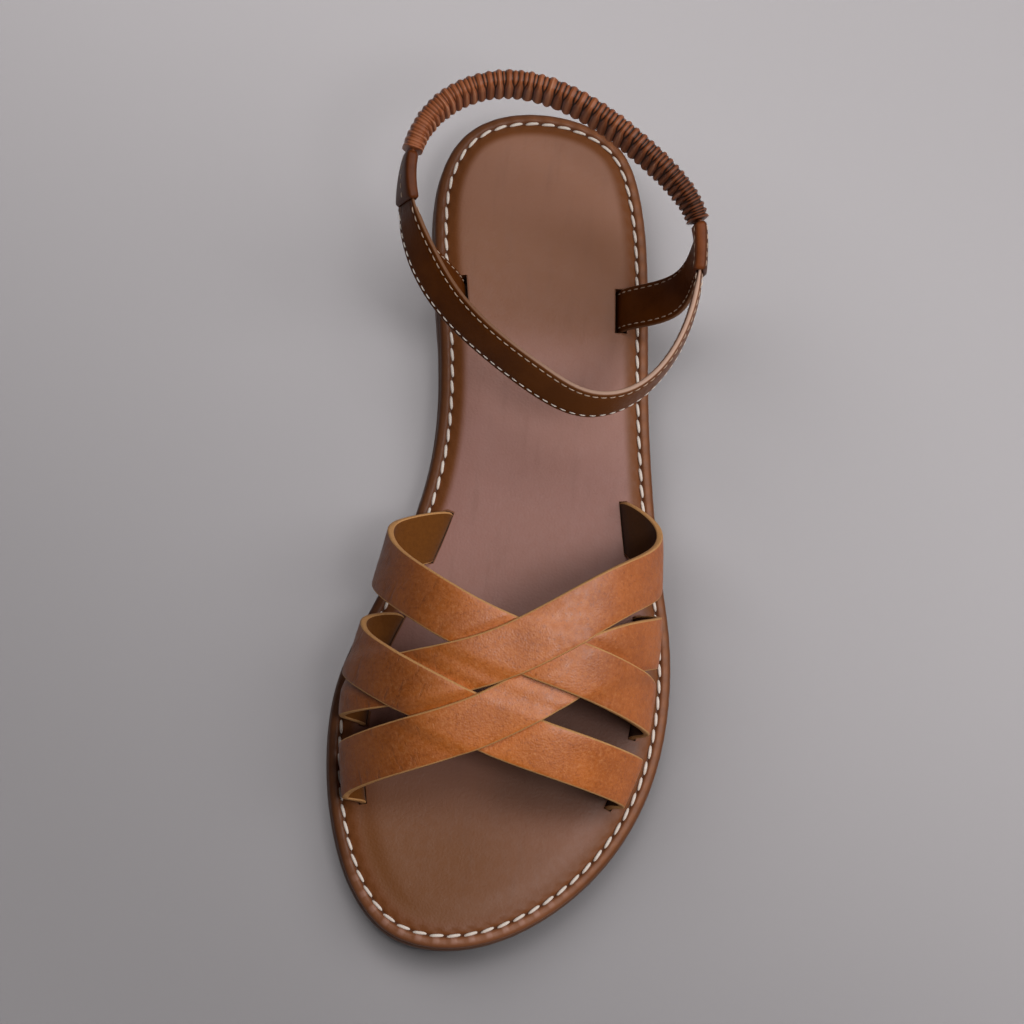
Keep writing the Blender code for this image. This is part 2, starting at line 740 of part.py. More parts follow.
def insole(mat):
    """Padded footbed: its rim, the sewn groove inside that, the raised pad, and its slots."""
    rings = []
    for row in RIM:
        xy = ring_inset(row["inset"])
        z = footbed_base(xy[:, 1]) + row["rise"]
        rings.append(np.column_stack([xy, z]))
    points, faces = stacked_rings(rings)
    bed = mesh_object("insole", points, faces)
    cutters = strap_slots()
    for side, loop in (("lateral", LATERAL_LOOP), ("medial", MEDIAL_LOOP)):
        line, wide = tab_path(side, loop)
        band = tab_band(line[:4], wide[:4], TAB_WIDTH + 2 * SLOT_PLAY, TAB_THICKNESS + 2 * SLOT_PLAY)
        slot_points, slot_faces = lofted(band)
        cutters.append(mesh_object("slot " + side, slot_points, slot_faces))
    combine(bed, cutters, "DIFFERENCE")
    bed.data.materials.clear()
    bed.data.materials.append(mat)
    return bed


def centre(objects):
    """Move all pieces so that the middle of their plan lies over the origin."""
    points = np.vstack([[v.co for v in obj.data.vertices] for obj in objects])
    lo = points.min(0)
    hi = points.max(0)
    shift = np.array([-(lo[0] + hi[0]) / 2, -(lo[1] + hi[1]) / 2, -lo[2]])
    for obj in objects:
        for v in obj.data.vertices:
            v.co = (v.co[0] + shift[0], v.co[1] + shift[1], v.co[2] + shift[2])
        obj.data.update()
    return shift


def main():
    for obj in list(bpy.data.objects):
        bpy.data.objects.remove(obj)
    pieces = [
        outsole(material("sole rubber", (0.10, 0.040, 0.020), 0.6)),
        insole(material("footbed leather", (0.17, 0.085, 0.055), 0.5)),
        woven_upper(material("tan strap leather", (0.36, 0.15, 0.055), 0.5)),
        tab("medial", MEDIAL_LOOP, material("medial tab leather", (0.085, 0.035, 0.016), 0.45)),
        tab("lateral", LATERAL_LOOP, material("lateral tab leather", (0.085, 0.035, 0.016), 0.45)),
        ankle_strap(material("ankle strap leather", (0.085, 0.035, 0.016), 0.45)),
        elastic_back(material("gathered leather", (0.22, 0.085, 0.040), 0.5)),
    ]
    centre(pieces)
    for piece in pieces:
        piece.data.shade_smooth()
        piece.data.set_sharp_from_angle(angle=math.radians(40.0))
    whole = bpy.data.objects.new("sandal", None)
    bpy.context.scene.collection.objects.link(whole)
    for piece in pieces:
        piece.parent = whole


main()
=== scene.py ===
# %% [markdown]
# # A flat leather sandal, made piece by piece
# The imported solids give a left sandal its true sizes: a low sole, a padded footbed, four woven
# straps, two tabs, an ankle strap and a gathered back. This lesson replaces each plain solid
# with a finely worked surface of the same shape and gives it leather, thread or rubber.

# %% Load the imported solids
import json
import math

import bmesh
import bpy
import numpy as np
from mathutils import Matrix, Vector

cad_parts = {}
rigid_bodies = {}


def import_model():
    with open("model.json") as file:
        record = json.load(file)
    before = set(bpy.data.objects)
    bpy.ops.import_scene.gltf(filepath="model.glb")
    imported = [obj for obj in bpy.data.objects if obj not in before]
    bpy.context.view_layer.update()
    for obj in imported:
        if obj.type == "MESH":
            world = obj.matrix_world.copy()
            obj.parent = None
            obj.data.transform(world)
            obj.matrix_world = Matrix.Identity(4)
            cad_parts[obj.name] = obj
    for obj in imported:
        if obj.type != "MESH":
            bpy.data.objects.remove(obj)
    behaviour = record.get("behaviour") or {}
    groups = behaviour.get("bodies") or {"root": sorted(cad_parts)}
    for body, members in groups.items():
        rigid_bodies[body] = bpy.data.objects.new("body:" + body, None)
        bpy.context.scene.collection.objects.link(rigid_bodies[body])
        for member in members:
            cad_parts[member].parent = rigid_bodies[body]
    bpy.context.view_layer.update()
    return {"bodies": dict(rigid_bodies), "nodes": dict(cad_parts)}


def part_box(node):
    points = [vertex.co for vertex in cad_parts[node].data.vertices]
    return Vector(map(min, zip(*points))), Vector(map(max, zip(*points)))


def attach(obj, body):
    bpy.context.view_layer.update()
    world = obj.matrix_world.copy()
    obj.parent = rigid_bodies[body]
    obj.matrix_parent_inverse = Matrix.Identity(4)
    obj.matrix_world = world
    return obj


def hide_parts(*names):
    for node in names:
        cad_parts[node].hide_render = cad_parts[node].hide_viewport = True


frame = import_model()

kept = set(frame["nodes"].values()) | set(frame["bodies"].values())
for left_over in [o for o in bpy.data.objects if o not in kept]:
    bpy.data.objects.remove(left_over)

# %% [markdown]
# ## Floor, camera and light
# The sandal is seen from nearly overhead, a little from the toe side, and the picture is rolled
# so that the toe points to the bottom left. A long lens from 0.85 m keeps that perspective. The
# light is a wide soft box high at the right, with two small ones overhead whose reflections give the
# footbed and the crests of the straps their sheen. The left of each strap falls off to dark brown. A
# fourth box lights the floor alone, so that the shadows on it stay as pale as in the photo. The floor
# glows a little far out and meets an equally pale horizon, so low views have no dark edge.
# Part of this light is painted into the colours: painted shade on the left of the straps, painted sheen on
# their crests and on the footbed, and a floor painted darker towards the toe and the left.

# %% Floor and camera
MM = 0.001
CAMERA_PLACE = Vector((-0.0394, -0.1935, 0.8210))
CAMERA_AIM = Vector((-0.0030, 0.0010, 0.0180))
PICTURE_UP = Vector((-0.1005, 0.9949, 0.0))
LENS = 101.0


def aimed(place, aim, up):
    """Turn whose -Z looks from place to aim: right is forward cross up, up is right cross forward."""
    forward = (aim - place).normalized()
    right = forward.cross(up).normalized()
    turn = Matrix((right, right.cross(forward), -forward)).transposed()
    return Matrix.Translation(place) @ turn.to_4x4()


lens = bpy.data.cameras.new("camera")
lens.lens = LENS
lens.sensor_width = 36.0
lens.clip_start = 0.01
camera = bpy.data.objects.new("camera", lens)
camera.matrix_world = aimed(CAMERA_PLACE, CAMERA_AIM, PICTURE_UP)
bpy.context.scene.collection.objects.link(camera)
bpy.context.scene.camera = camera

floor_mesh = bpy.data.meshes.new("floor")
FLOOR_HALF, FLOOR_DROP = 30.0, -0.0002
floor_mesh.from_pydata([(x * FLOOR_HALF, y * FLOOR_HALF, FLOOR_DROP)
                        for x, y in ((-1, -1), (1, -1), (1, 1), (-1, 1))], [], [(0, 1, 2, 3)])
floor = bpy.data.objects.new("floor", floor_mesh)
bpy.context.scene.collection.objects.link(floor)
print("camera stands", round((CAMERA_PLACE - CAMERA_AIM).length, 3), "m from the sandal")

# %% Light
SOFT_BOXES = (
    ("right box", (0.62, 0.12, 0.80), 0.85, 5.35),
    ("heel box", (0.06, 0.32, 1.00), 0.42, 2.0),
    ("crest box", (0.27, -0.23, 0.94), 0.28, 2.5),
    ("floor box", (-0.46, 0.38, 0.82), 1.00, 12.5),
)
floor_alone = bpy.data.collections.new("floor alone")
floor_alone.objects.link(floor)
for name, place, size, power in SOFT_BOXES:
    box = bpy.data.lights.new(name, "AREA")
    box.shape = "DISK"
    box.size = size
    box.energy = power
    lamp = bpy.data.objects.new(name, box)
    lamp.matrix_world = aimed(Vector(place), Vector(), Vector((0.0, 1.0, 0.0)))
    bpy.context.scene.collection.objects.link(lamp)
    if name == "floor box":
        lamp.light_linking.receiver_collection = floor_alone

world = bpy.data.worlds.new("studio")
world.use_nodes = True
world_tree = world.node_tree
WORLD_COLOUR = (0.94, 0.95, 1.0, 1.0)
WORLD_LEVEL, HORIZON_LEVEL, HORIZON_TOP = 0.044, 0.42, 0.12
world_tree.nodes["Background"].inputs["Color"].default_value = WORLD_COLOUR
toward = world_tree.nodes.new("ShaderNodeTexCoord")
height = world_tree.nodes.new("ShaderNodeSeparateXYZ")
glow = world_tree.nodes.new("ShaderNodeMapRange")
glow.interpolation_type = "SMOOTHSTEP"
glow.inputs["From Max"].default_value = HORIZON_TOP
glow.inputs["To Min"].default_value = HORIZON_LEVEL
glow.inputs["To Max"].default_value = WORLD_LEVEL
world_tree.links.new(toward.outputs["Generated"], height.inputs[0])
world_tree.links.new(height.outputs["Z"], glow.inputs["Value"])
world_tree.links.new(glow.outputs["Result"], world_tree.nodes["Background"].inputs["Strength"])
bpy.context.scene.world = world
bpy.context.scene.view_settings.view_transform = "Standard"
print("soft boxes", [row[0] for row in SOFT_BOXES])

# %% [markdown]
# ## Curves through a few rows
# A shoemaker draws a last from a handful of sections and lets a bent strip of wood find the
# curve between them. A cubic spline is that strip of wood. Where a height must not overshoot,
# as on a sole that lies flat and then lifts, a monotone curve is used instead.

# %% Curve helpers


def table(columns, rows):
    """Rows of numbers under named columns."""
    return np.array(rows, dtype=[(name, float) for name in columns.split()])


def spline(rows, knots, closed=False):
    """Cubic through the rows: the bends at the knots are solved so that slope and bend carry on."""
    rows = np.asarray(rows, float)
    knots = np.asarray(knots, float)
    n = len(rows)
    h = np.diff(knots)
    slope = np.diff(rows, axis=0) / h[:, None]
    inner = np.arange(1, n - 1)
    system = np.eye(n)
    pull = np.zeros_like(rows)
    system[inner, inner - 1] = h[:-1]
    system[inner, inner] = 2 * (h[:-1] + h[1:])
    system[inner, inner + 1] = h[1:]
    pull[inner] = 6 * np.diff(slope, axis=0)
    if closed:
        system[0, -1] = -1.0
        system[-1] = 0.0
        system[-1, [0, 1]] = 2 * h[0], h[0]
        system[-1, [-2, -1]] = h[-1], 2 * h[-1]
        pull[-1] = 6 * (slope[0] - slope[-1])
    bend = np.linalg.solve(system, pull)

    def at(u):
        u = np.asarray(u, float)
        k = np.clip(np.searchsorted(knots, u, side="right") - 1, 0, n - 2)
        w = h[k][..., None]
        a = (knots[k + 1] - u)[..., None]
        b = (u - knots[k])[..., None]
        cubic = (bend[k] * a ** 3 + bend[k + 1] * b ** 3) / (6 * w)
        return cubic + (rows[k] / w - bend[k] * w / 6) * a + (rows[k + 1] / w - bend[k + 1] * w / 6) * b

    return at


def by_row(xs, values, x):
    """Hermite curve between rows with harmonic-mean slopes, level wherever the rows turn back."""
    xs = np.asarray(xs, float)
    v = np.asarray(values, float)
    x = np.clip(np.asarray(x, float), xs[0], xs[-1])
    h = np.diff(xs)
    d = np.diff(v) / h
    m = np.concatenate([d[:1], np.zeros(len(v) - 2), d[-1:]])
    a = 2 * h[1:] + h[:-1]
    b = h[1:] + 2 * h[:-1]
    same = d[:-1] * d[1:] > 0
    safe = [np.where(same, side, 1.0) for side in (d[:-1], d[1:])]
    m[1:-1] = np.where(same, (a + b) / (a / safe[0] + b / safe[1]), 0.0)
    k = np.clip(np.searchsorted(xs, x, side="right") - 1, 0, len(xs) - 2)
    s = (x - xs[k]) / h[k]
    start = (1 + 2 * s) * (1 - s) ** 2 * v[k] + s * (1 - s) ** 2 * h[k] * m[k]
    return start + s * s * (3 - 2 * s) * v[k + 1] + s * s * (s - 1) * h[k] * m[k + 1]


def soft_step(x):
    """0 before 0, 1 after 1, and 3x^2 - 2x^3 between."""
    x = np.clip(x, 0.0, 1.0)
    return x * x * (3 - 2 * x)


def hill(x, middle, reach):
    """Bell of height 1: e to the minus ((x - middle) / reach) squared."""
    return np.exp(-((x - middle) / reach) ** 2)


def chords(points):
    """Distance walked along a row of points, from 0."""
    return np.concatenate([[0.0], np.cumsum(np.linalg.norm(np.diff(points, axis=0), axis=1))])


def unit(v):
    """Each vector over its own length."""
    return v / np.linalg.norm(v, axis=-1)[..., None]


print("half way up a soft step:", float(soft_step(0.5)))

# %% [markdown]
# ## The edge of the sole
# The outline comes from thirteen sections across the sole, each with its inner and outer edge.
# Closed round toe and heel, it gives one smooth loop. Everything else is measured from it: the
# stitch line, the padded rim and the slots all stand a fixed distance inside this edge.

# %% Outline of the sole
SOLE_LENGTH = 250.0
OUTLINE = table("from_toe medial lateral", [
    (3.0, -16.0, 12.5), (12.0, -25.6, 28.0), (30.0, -34.1, 44.7), (52.0, -38.5, 54.8),
    (75.0, -37.6, 57.9), (95.0, -31.0, 56.5), (117.0, -23.1, 51.7), (140.0, -18.3, 47.3),
    (162.0, -18.2, 44.1), (186.0, -21.4, 41.6), (210.0, -25.1, 39.0), (228.0, -24.7, 35.2),
    (241.0, -18.6, 28.9),
])
TOE_TIP = -2.0
HEEL_TIP = 3.5
TIP_CROWDING = 0.06
SIDE_STATIONS = 560
EDGE_COUNT = 2 * SIDE_STATIONS


def along(from_toe):
    """Y of a place given by its distance from the toe."""
    return np.asarray(from_toe, float) - SOLE_LENGTH / 2


def sole_edge():
    """Closed spline toe, outer side, heel, inner side, sampled equally often on each side."""
    y = along(OUTLINE["from_toe"])
    toe = np.array([[TOE_TIP, -SOLE_LENGTH / 2]])
    heel = np.array([[HEEL_TIP, SOLE_LENGTH / 2]])
    outer = np.column_stack([OUTLINE["lateral"], y])
    inner = np.column_stack([OUTLINE["medial"], y])[::-1]
    knots = np.vstack([toe, outer, heel, inner, toe])
    t = chords(knots)
    turn = t[len(outer) + 1]
    share = np.linspace(0.0, 1.0, SIDE_STATIONS + 1)[:-1]
    share = share - TIP_CROWDING * np.sin(2 * math.pi * share)
    return spline(knots, t, closed=True)(np.concatenate([turn * share, turn + (t[-1] - turn) * share]))


EDGE = sole_edge()
EDGE_RUN = unit(np.roll(EDGE, -1, axis=0) - np.roll(EDGE, 1, axis=0))
EDGE_OUT = np.column_stack([EDGE_RUN[:, 1], -EDGE_RUN[:, 0]])
sole_low, sole_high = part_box("outsole")
EDGE_MIDDLE = (EDGE[:, 0].min() + EDGE[:, 0].max()) / 2
SHIFT = np.array([(sole_low.x + sole_high.x) / 2 / MM - EDGE_MIDDLE, 0.0, 0.0])


def edge_x(y, side):
    """X of the sole's edge at each Y, on one side."""
    half = SIDE_STATIONS
    pts = EDGE[:half + 1] if side == "lateral" else np.vstack([EDGE[half:], EDGE[:1]])
    order = np.argsort(pts[:, 1])
    return np.interp(y, pts[order, 1], pts[order, 0])


print("edge points", len(EDGE), "shift across", SHIFT[0].round(2), "mm")

# %% Heights of the sole
PROFILE = table("from_toe bottom top", [
    (0.0, 5.2, 9.8), (15.0, 2.7, 7.6), (30.0, 0.9, 6.2), (46.0, 0.0, 5.5), (104.0, 0.0, 5.5),
    (128.0, 1.4, 6.3), (150.0, 3.0, 7.6), (174.0, 3.2, 9.2), (182.0, 0.0, 9.6), (240.0, 0.0, 10.2),
    (250.0, 0.5, 10.2),
])
CLEARANCE = 0.3
FOOTBED_THICKNESS = 3.5


def sole_height(y, face):
    """Height of the sole's bottom or top face at each Y: toe spring, flat, arch, low heel."""
    return by_row(along(PROFILE["from_toe"]), PROFILE[face], y)


def footbed_base(y):
    """Height from which the footbed's section is measured at each Y."""
    return sole_height(y, "top") + CLEARANCE + FOOTBED_THICKNESS


print("arch stands", float(sole_height(along(174.0), "bottom")), "mm off the floor")

# %% [markdown]
# ## From arrays to meshes
# Every piece below is a grid: rows of points along it, columns round it. Faces come from the
# index arithmetic of the grid, so no loop ever visits a single vertex. A signed volume tells
# whether the faces point outward, and turns them round if not.

# %% Mesh helpers


def grid_faces(rows, columns, loop_rows=False):
    """Quads between neighbouring rows and columns; columns close in a loop, rows if asked."""
    r = np.arange(rows if loop_rows else rows - 1)[:, None]
    c = np.arange(columns)[None, :]
    s = (r + 1) % rows
    d = (c + 1) % columns
    corners = [r * columns + c, r * columns + d, s * columns + d, s * columns + c]
    return np.stack(np.broadcast_arrays(*corners), axis=-1).reshape(-1, 4)


def tube(rows, columns, start=0):
    """Faces of a grid from a first point on, with one more face across its first and its last row."""
    caps = np.arange(columns)[::-1], np.arange((rows - 1) * columns, rows * columns)
    return (grid_faces(rows, columns) + start).tolist() + [(cap + start).tolist() for cap in caps]


def swept(line, up, out, up_mm, out_mm):
    """Sections along a line: its points plus offsets in two directions, a row per station."""
    return line[:, None] + up_mm[..., None] * up[:, None] + out_mm[..., None] * out[:, None]


def piece_from(name, points, faces, material, slot, replaces=None):
    """Mesh object from points in millimetres, faces outward, riding on the one body."""
    points = (np.asarray(points, float).reshape(-1, 3) + SHIFT) * MM
    mesh = bpy.data.meshes.new(name)
    mesh.from_pydata(points.tolist(), [], [list(f) for f in faces])
    mesh.calc_loop_triangles()
    tris = np.empty(len(mesh.loop_triangles) * 3, np.int32)
    mesh.loop_triangles.foreach_get("vertices", tris)
    a, b, c = (points[tris.reshape(-1, 3)[:, k]] for k in range(3))
    if np.sum(np.cross(a, b) * c) < 0:
        mesh.flip_normals()
    mesh.shade_smooth()
    piece = bpy.data.objects.new(name, mesh)
    bpy.context.scene.collection.objects.link(piece)
    mesh.materials.append(material)
    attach(piece, "root")
    if replaces:
        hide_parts(replaces)
    print(name, len(points), "points", len(tris) // 3, "triangles")
    return piece


def mark(piece, name, values):
    """Number per point for the material to read."""
    field = piece.data.attributes.new(name, "FLOAT", "POINT")
    field.data.foreach_set("value", np.asarray(values, np.float32).ravel())


print("a 3 by 4 grid has", len(grid_faces(3, 4)), "faces")

# %% [markdown]
# ## Building a finish from nodes
# Each finish is a short chain of nodes: noise for colour, a mask for where it changes, and bump
# for grain. Small helpers keep the chains readable, and a table of tones says which colour lies over
# which and where. Coordinates are the object's own, in metres, so a noise scale of 1000 has detail
# about one millimetre across.

# %% Node helpers


def finish(name, roughness, **sockets):
    """New material and its tree; constant sockets are set straight on the Principled shader."""
    material = bpy.data.materials.new(name)
    material.use_nodes = True
    tree = material.node_tree
    for key, value in {"Roughness": roughness, **sockets}.items():
        tree.nodes["Principled BSDF"].inputs[key.replace("_", " ")].default_value = value
    return material, tree


def put(tree, socket, value):
    """A link if the value is another node's output, and a constant if not."""
    if isinstance(value, bpy.types.NodeSocket):
        tree.links.new(value, socket)
    elif socket.type == "RGBA":
        socket.default_value = (*value[:3], 1.0)
    else:
        socket.default_value = value


def paint(tree, **inputs):
    """Colours and masks onto the shader's sockets."""
    for key, value in inputs.items():
        put(tree, tree.nodes["Principled BSDF"].inputs[key.replace("_", " ")], value)


def step(tree, kind, inputs, out=0, **settings):
    """One node with its settings and inputs, and the output that is asked for."""
    node = tree.nodes.new("ShaderNode" + kind)
    for key, value in settings.items():
        setattr(node, key, value)
    for key, value in inputs.items():
        put(tree, node.inputs[key], value)
    return node.outputs[out]


def times(tree, *factors):
    """Product of numbers and node outputs."""
    product = factors[0]
    for factor in factors[1:]:
        product = step(tree, "Math", {0: product, 1: factor}, operation="MULTIPLY")
    return product


def blend(tree, share, first, second, mode="MIX"):
    """First colour where share is 0, second where it is 1."""
    return step(tree, "Mix", {0: share, 6: first, 7: second}, 2, data_type="RGBA", blend_type=mode)


def between(tree, value, *limits):
    """Smooth rise between two limits, from 0 to 1 or from a third number to a fourth."""
    return step(tree, "MapRange", dict(enumerate((value, *limits))), interpolation_type="SMOOTHSTEP")


def own_place(tree, stretch=(1.0, 1.0, 1.0)):
    """The object's own coordinates, scaled along its axes."""
    return step(tree, "Mapping", {"Vector": step(tree, "TexCoord", {}, "Object"), "Scale": stretch})


def axis(tree, letter):
    """X, Y or Z of the object's own coordinates."""
    return step(tree, "SeparateXYZ", {0: own_place(tree)}, letter)


def cloudy(tree, scale, detail=4.0, rough=0.55, stretch=(1.0, 1.0, 1.0)):
    """Noise from 0 to 1 on the object's own coordinates."""
    inputs = {"Vector": own_place(tree, stretch), "Scale": scale, "Detail": detail, "Roughness": rough}
    return step(tree, "TexNoise", inputs, "Fac")


def uneven(tree, scale, low, high):
    """A number that drifts between low and high with noise."""
    return between(tree, cloudy(tree, scale), 0.3, 0.7, low, high)


def pebbles(tree, scale):
    """Distance to the nearest grain cell's middle, for leather pores."""
    inputs = {"Vector": own_place(tree), "Scale": scale}
    return step(tree, "TexVoronoi", inputs, "Distance", feature="SMOOTH_F1")


def marked(tree, name):
    """The number that mark() stored on the points."""
    return step(tree, "Attribute", {}, "Fac", attribute_name=name)


def layered(tree, colour, rows, **fields):
    """Tones laid over a colour, each by its share times its masks: a field, or its rise between limits."""
    for share, tone, *masks in rows:
        for name, *limits in masks:
            share = times(tree, share, between(tree, fields[name], *limits) if limits else fields[name])
        colour = blend(tree, share, colour, tone)
    return colour


def relief(tree, *layers):
    """Bump layers on top of each other, each a height, a depth in metres and a strength."""
    normal = {}
    for height, depth, strength in layers:
        inputs = {"Height": height, "Distance": depth, "Strength": strength, **normal}
        normal = {"Normal": step(tree, "Bump", inputs)}
    paint(tree, **normal)


print("node helpers ready")

# %% Floor finish
# The floor's colour is painted darker towards the toe and the left and paler towards the heel and the
# right: a painted fall-off of light.
FLOOR_DARK, FLOOR_PALE = (0.140, 0.131, 0.134), (0.245, 0.2295, 0.234)
FLOOR_FALL = (-0.22, 0.16)
FLOOR_SLANT = 0.7
FLOOR_GLOW = (0.42, 0.403, 0.408, 1.0)
GLOW_REACH = (0.28, 1.40)
floor_paper, tree = finish("floor paper", 0.9, Emission_Color=FLOOR_GLOW)
sideways = times(tree, axis(tree, "X"), FLOOR_SLANT)
slanted = step(tree, "Math", {0: axis(tree, "Y"), 1: sideways}, operation="ADD")
reach = step(tree, "VectorMath", {0: own_place(tree)}, "Value", operation="LENGTH")
paint(tree, Base_Color=blend(tree, between(tree, slanted, *FLOOR_FALL), FLOOR_DARK, FLOOR_PALE),
      Emission_Strength=between(tree, reach, *GLOW_REACH))
floor_paper.cycles.emission_sampling = "NONE"
floor_mesh.materials.append(floor_paper)
print("floor is", floor_paper.name)

# %% [markdown]
# ## Outsole
# A thin moulded rubber sole: flat under heel and ball, hollow at the arch, lifted at the toe,
# with a rounded lower edge. Rings that follow the outline are stacked from the bottom up, and
# the bottom and top are spanned from side to side.

# %% Outsole surface


def across(ring):
    """Quads that span a closed ring from one side to the other, toe first."""
    i = np.arange(1, SIDE_STATIONS - 1)
    other = EDGE_COUNT - i
    quads = np.column_stack([ring[i], ring[i + 1], ring[other - 1], ring[other]])
    half = SIDE_STATIONS
    return [[ring[0], ring[1], ring[-1]], *quads.tolist(), [ring[half - 1], ring[half], ring[half + 1]]]


def stacked(rings):
    """Rings of the outline in order, joined by quads, first and last spanned across."""
    rows = len(rings)
    index = np.arange(rows * EDGE_COUNT).reshape(rows, EDGE_COUNT)
    faces = grid_faces(rows, EDGE_COUNT).tolist()
    return np.stack(rings), faces + [f[::-1] for f in across(index[0])] + across(index[-1])


def edge_ring(inset):
    """The sole's edge moved inward along its normal by inset, which may vary along the edge."""
    return EDGE - EDGE_OUT * np.asarray(inset)[..., None]


SOLE_RINGS = ((6.0, "bottom", 0.0), (2.4, "bottom", 0.0), (1.5, "bottom", 0.16), (0.8, "bottom", 0.5),
              (0.3, "bottom", 1.1), (0.0, "bottom", 2.0), (0.0, "top", -1.8), (0.12, "top", -1.0),
              (0.45, "top", -0.35), (1.0, "top", 0.0))
rings = []
for inset, face, rise in SOLE_RINGS:
    xy = edge_ring(np.full(EDGE_COUNT, inset))
    rings.append(np.column_stack([xy, sole_height(xy[:, 1], face) + rise]))

rubber, tree = finish("sole rubber", 0.55)
paint(tree, Base_Color=blend(tree, cloudy(tree, 90.0), (0.105, 0.038, 0.015), (0.160, 0.062, 0.026)))
relief(tree, (cloudy(tree, 1400.0, 2.0), 0.0002, 0.25))
piece_from("outsole_rubber", *stacked(rings), rubber, "sole_rubber", "outsole")

# %% [markdown]
# ## Footbed
# A board and a layer of foam under one skin of leather, turned over the edge and stitched down
# all round. The stitches pull a groove: outside it a low rim, inside it the pad rises. The section
# is a curve of inset and rise; the puckers of the rim are a cosine of the distance along the
# stitch line, strongest on the rim's crest and gone a few millimetres away.

# %% Footbed surface
STITCH_INSET = 3.7
STITCH_PITCH = 4.8
RIM = table("inset rise", [
    (0.75, -3.5), (0.42, -2.4), (0.35, -1.4), (0.45, -0.40), (0.8, 0.15), (1.4, 0.55), (2.1, 0.80),
    (2.7, 0.85), (3.2, 0.58), (3.7, 0.2), (4.15, 0.4), (5.2, 1.05), (6.3, 1.62), (7.2, 1.92),
    (8.4, 2.05), (11.5, 2.1), (20.0, 2.1),
])
RIM_END, CROWN = RIM[-1]
PUCKER = 0.14
PAD_PUCKER = 0.10
EDGE_WAVE = 0.03
HOLE_DEPTH = 0.20
SPINE_ENDS = (12.0, 10.0)
SPINE_SHARES = (0.2, 0.4, 0.6, 0.8, 0.96)
HOLLOWS = table("depth x wide y long", [
    (0.5, 7.0, 19.0, 82.0, 30.0), (0.4, 12.0, 30.0, -48.0, 30.0), (0.3, -6.0, 14.0, -98.0, 14.0),
])
PILLOW = table("y soft", [
    (-125.0, 0.72), (-85.0, 0.70), (-40.0, 0.25), (30.0, 0.22), (70.0, 0.0), (125.0, 0.0),
])
RIM_CREST, PAD_FOOT, HOLE_AT = (2.4, 0.95), (5.0, 1.0), (STITCH_INSET, 0.55)
WAVE_AT, PILLOW_AT = (1.0, 0.9), (8.2, 3.2)
DISH_FROM, DISH_OVER = 8.0, 12.0
rim_rows = np.column_stack([RIM["inset"], RIM["rise"]])
rim_walk = chords(rim_rows)
rim_curve = spline(rim_rows, rim_walk)(np.concatenate([
    np.linspace(0.0, rim_walk[12], 36), np.linspace(rim_walk[12], rim_walk[-1], 13)[1:]]))

stitch_line = edge_ring(np.full(EDGE_COUNT, STITCH_INSET))
stitch_walk = chords(np.vstack([stitch_line, stitch_line[:1]]))
STITCH_COUNT = int(round(stitch_walk[-1] / STITCH_PITCH))
stitch_phase = stitch_walk[:-1] / stitch_walk[-1] * STITCH_COUNT * 2 * math.pi


def worn_dish(x, y):
    """Hollows that a foot leaves under heel, ball and big toe: a bell for each."""
    return sum(h["depth"] * np.exp(-((x - h["x"]) / h["wide"]) ** 2 - ((y - h["y"]) / h["long"]) ** 2)
               for h in HOLLOWS)


def footbed_rings():
    """Rim rings with puckers, then rings drawn in towards the middle line of the foot."""
    rings = []
    insets = []
    puff = np.cos(stitch_phase)
    for inset, rise in rim_curve:
        swell = PUCKER * hill(inset, *RIM_CREST) - PAD_PUCKER * hill(inset, *PAD_FOOT)
        hole = HOLE_DEPTH * hill(inset, *HOLE_AT) * (1 - puff) / 2
        xy = edge_ring(np.full(EDGE_COUNT, inset) - EDGE_WAVE * puff * hill(inset, *WAVE_AT))
        round_off = by_row(PILLOW["y"], PILLOW["soft"], xy[:, 1]) * hill(inset, *PILLOW_AT)
        z = footbed_base(xy[:, 1]) + rise + swell * puff - hole - round_off
        rings.append(np.column_stack([xy, z]))
        insets.append(inset)
    base = rings[-1][:, :2]
    half = SIDE_STATIONS
    station = np.arange(EDGE_COUNT)
    middle = (base + base[(EDGE_COUNT - station) % EDGE_COUNT]) / 2
    y_in = np.clip(middle[:, 1], base[0, 1] + SPINE_ENDS[0], base[half, 1] - SPINE_ENDS[1])
    spine = np.column_stack([np.interp(y_in, base[:half, 1], middle[:half, 0]), y_in])
    for share in SPINE_SHARES:
        xy = base + (spine - base) * share
        rings.append(np.column_stack([xy, footbed_base(xy[:, 1]) + CROWN]))
        insets.append(RIM_END + RIM_END * share)
    return rings, np.array(insets)


rings, ring_insets = footbed_rings()
for k in range(len(rings)):
    fade = soft_step((ring_insets[k] - DISH_FROM) / DISH_OVER)
    rings[k][:, 2] -= worn_dish(rings[k][:, 0], rings[k][:, 1]) * fade
print("stitches round the rim", STITCH_COUNT, "pitch", round(stitch_walk[-1] / STITCH_COUNT, 2), "mm")

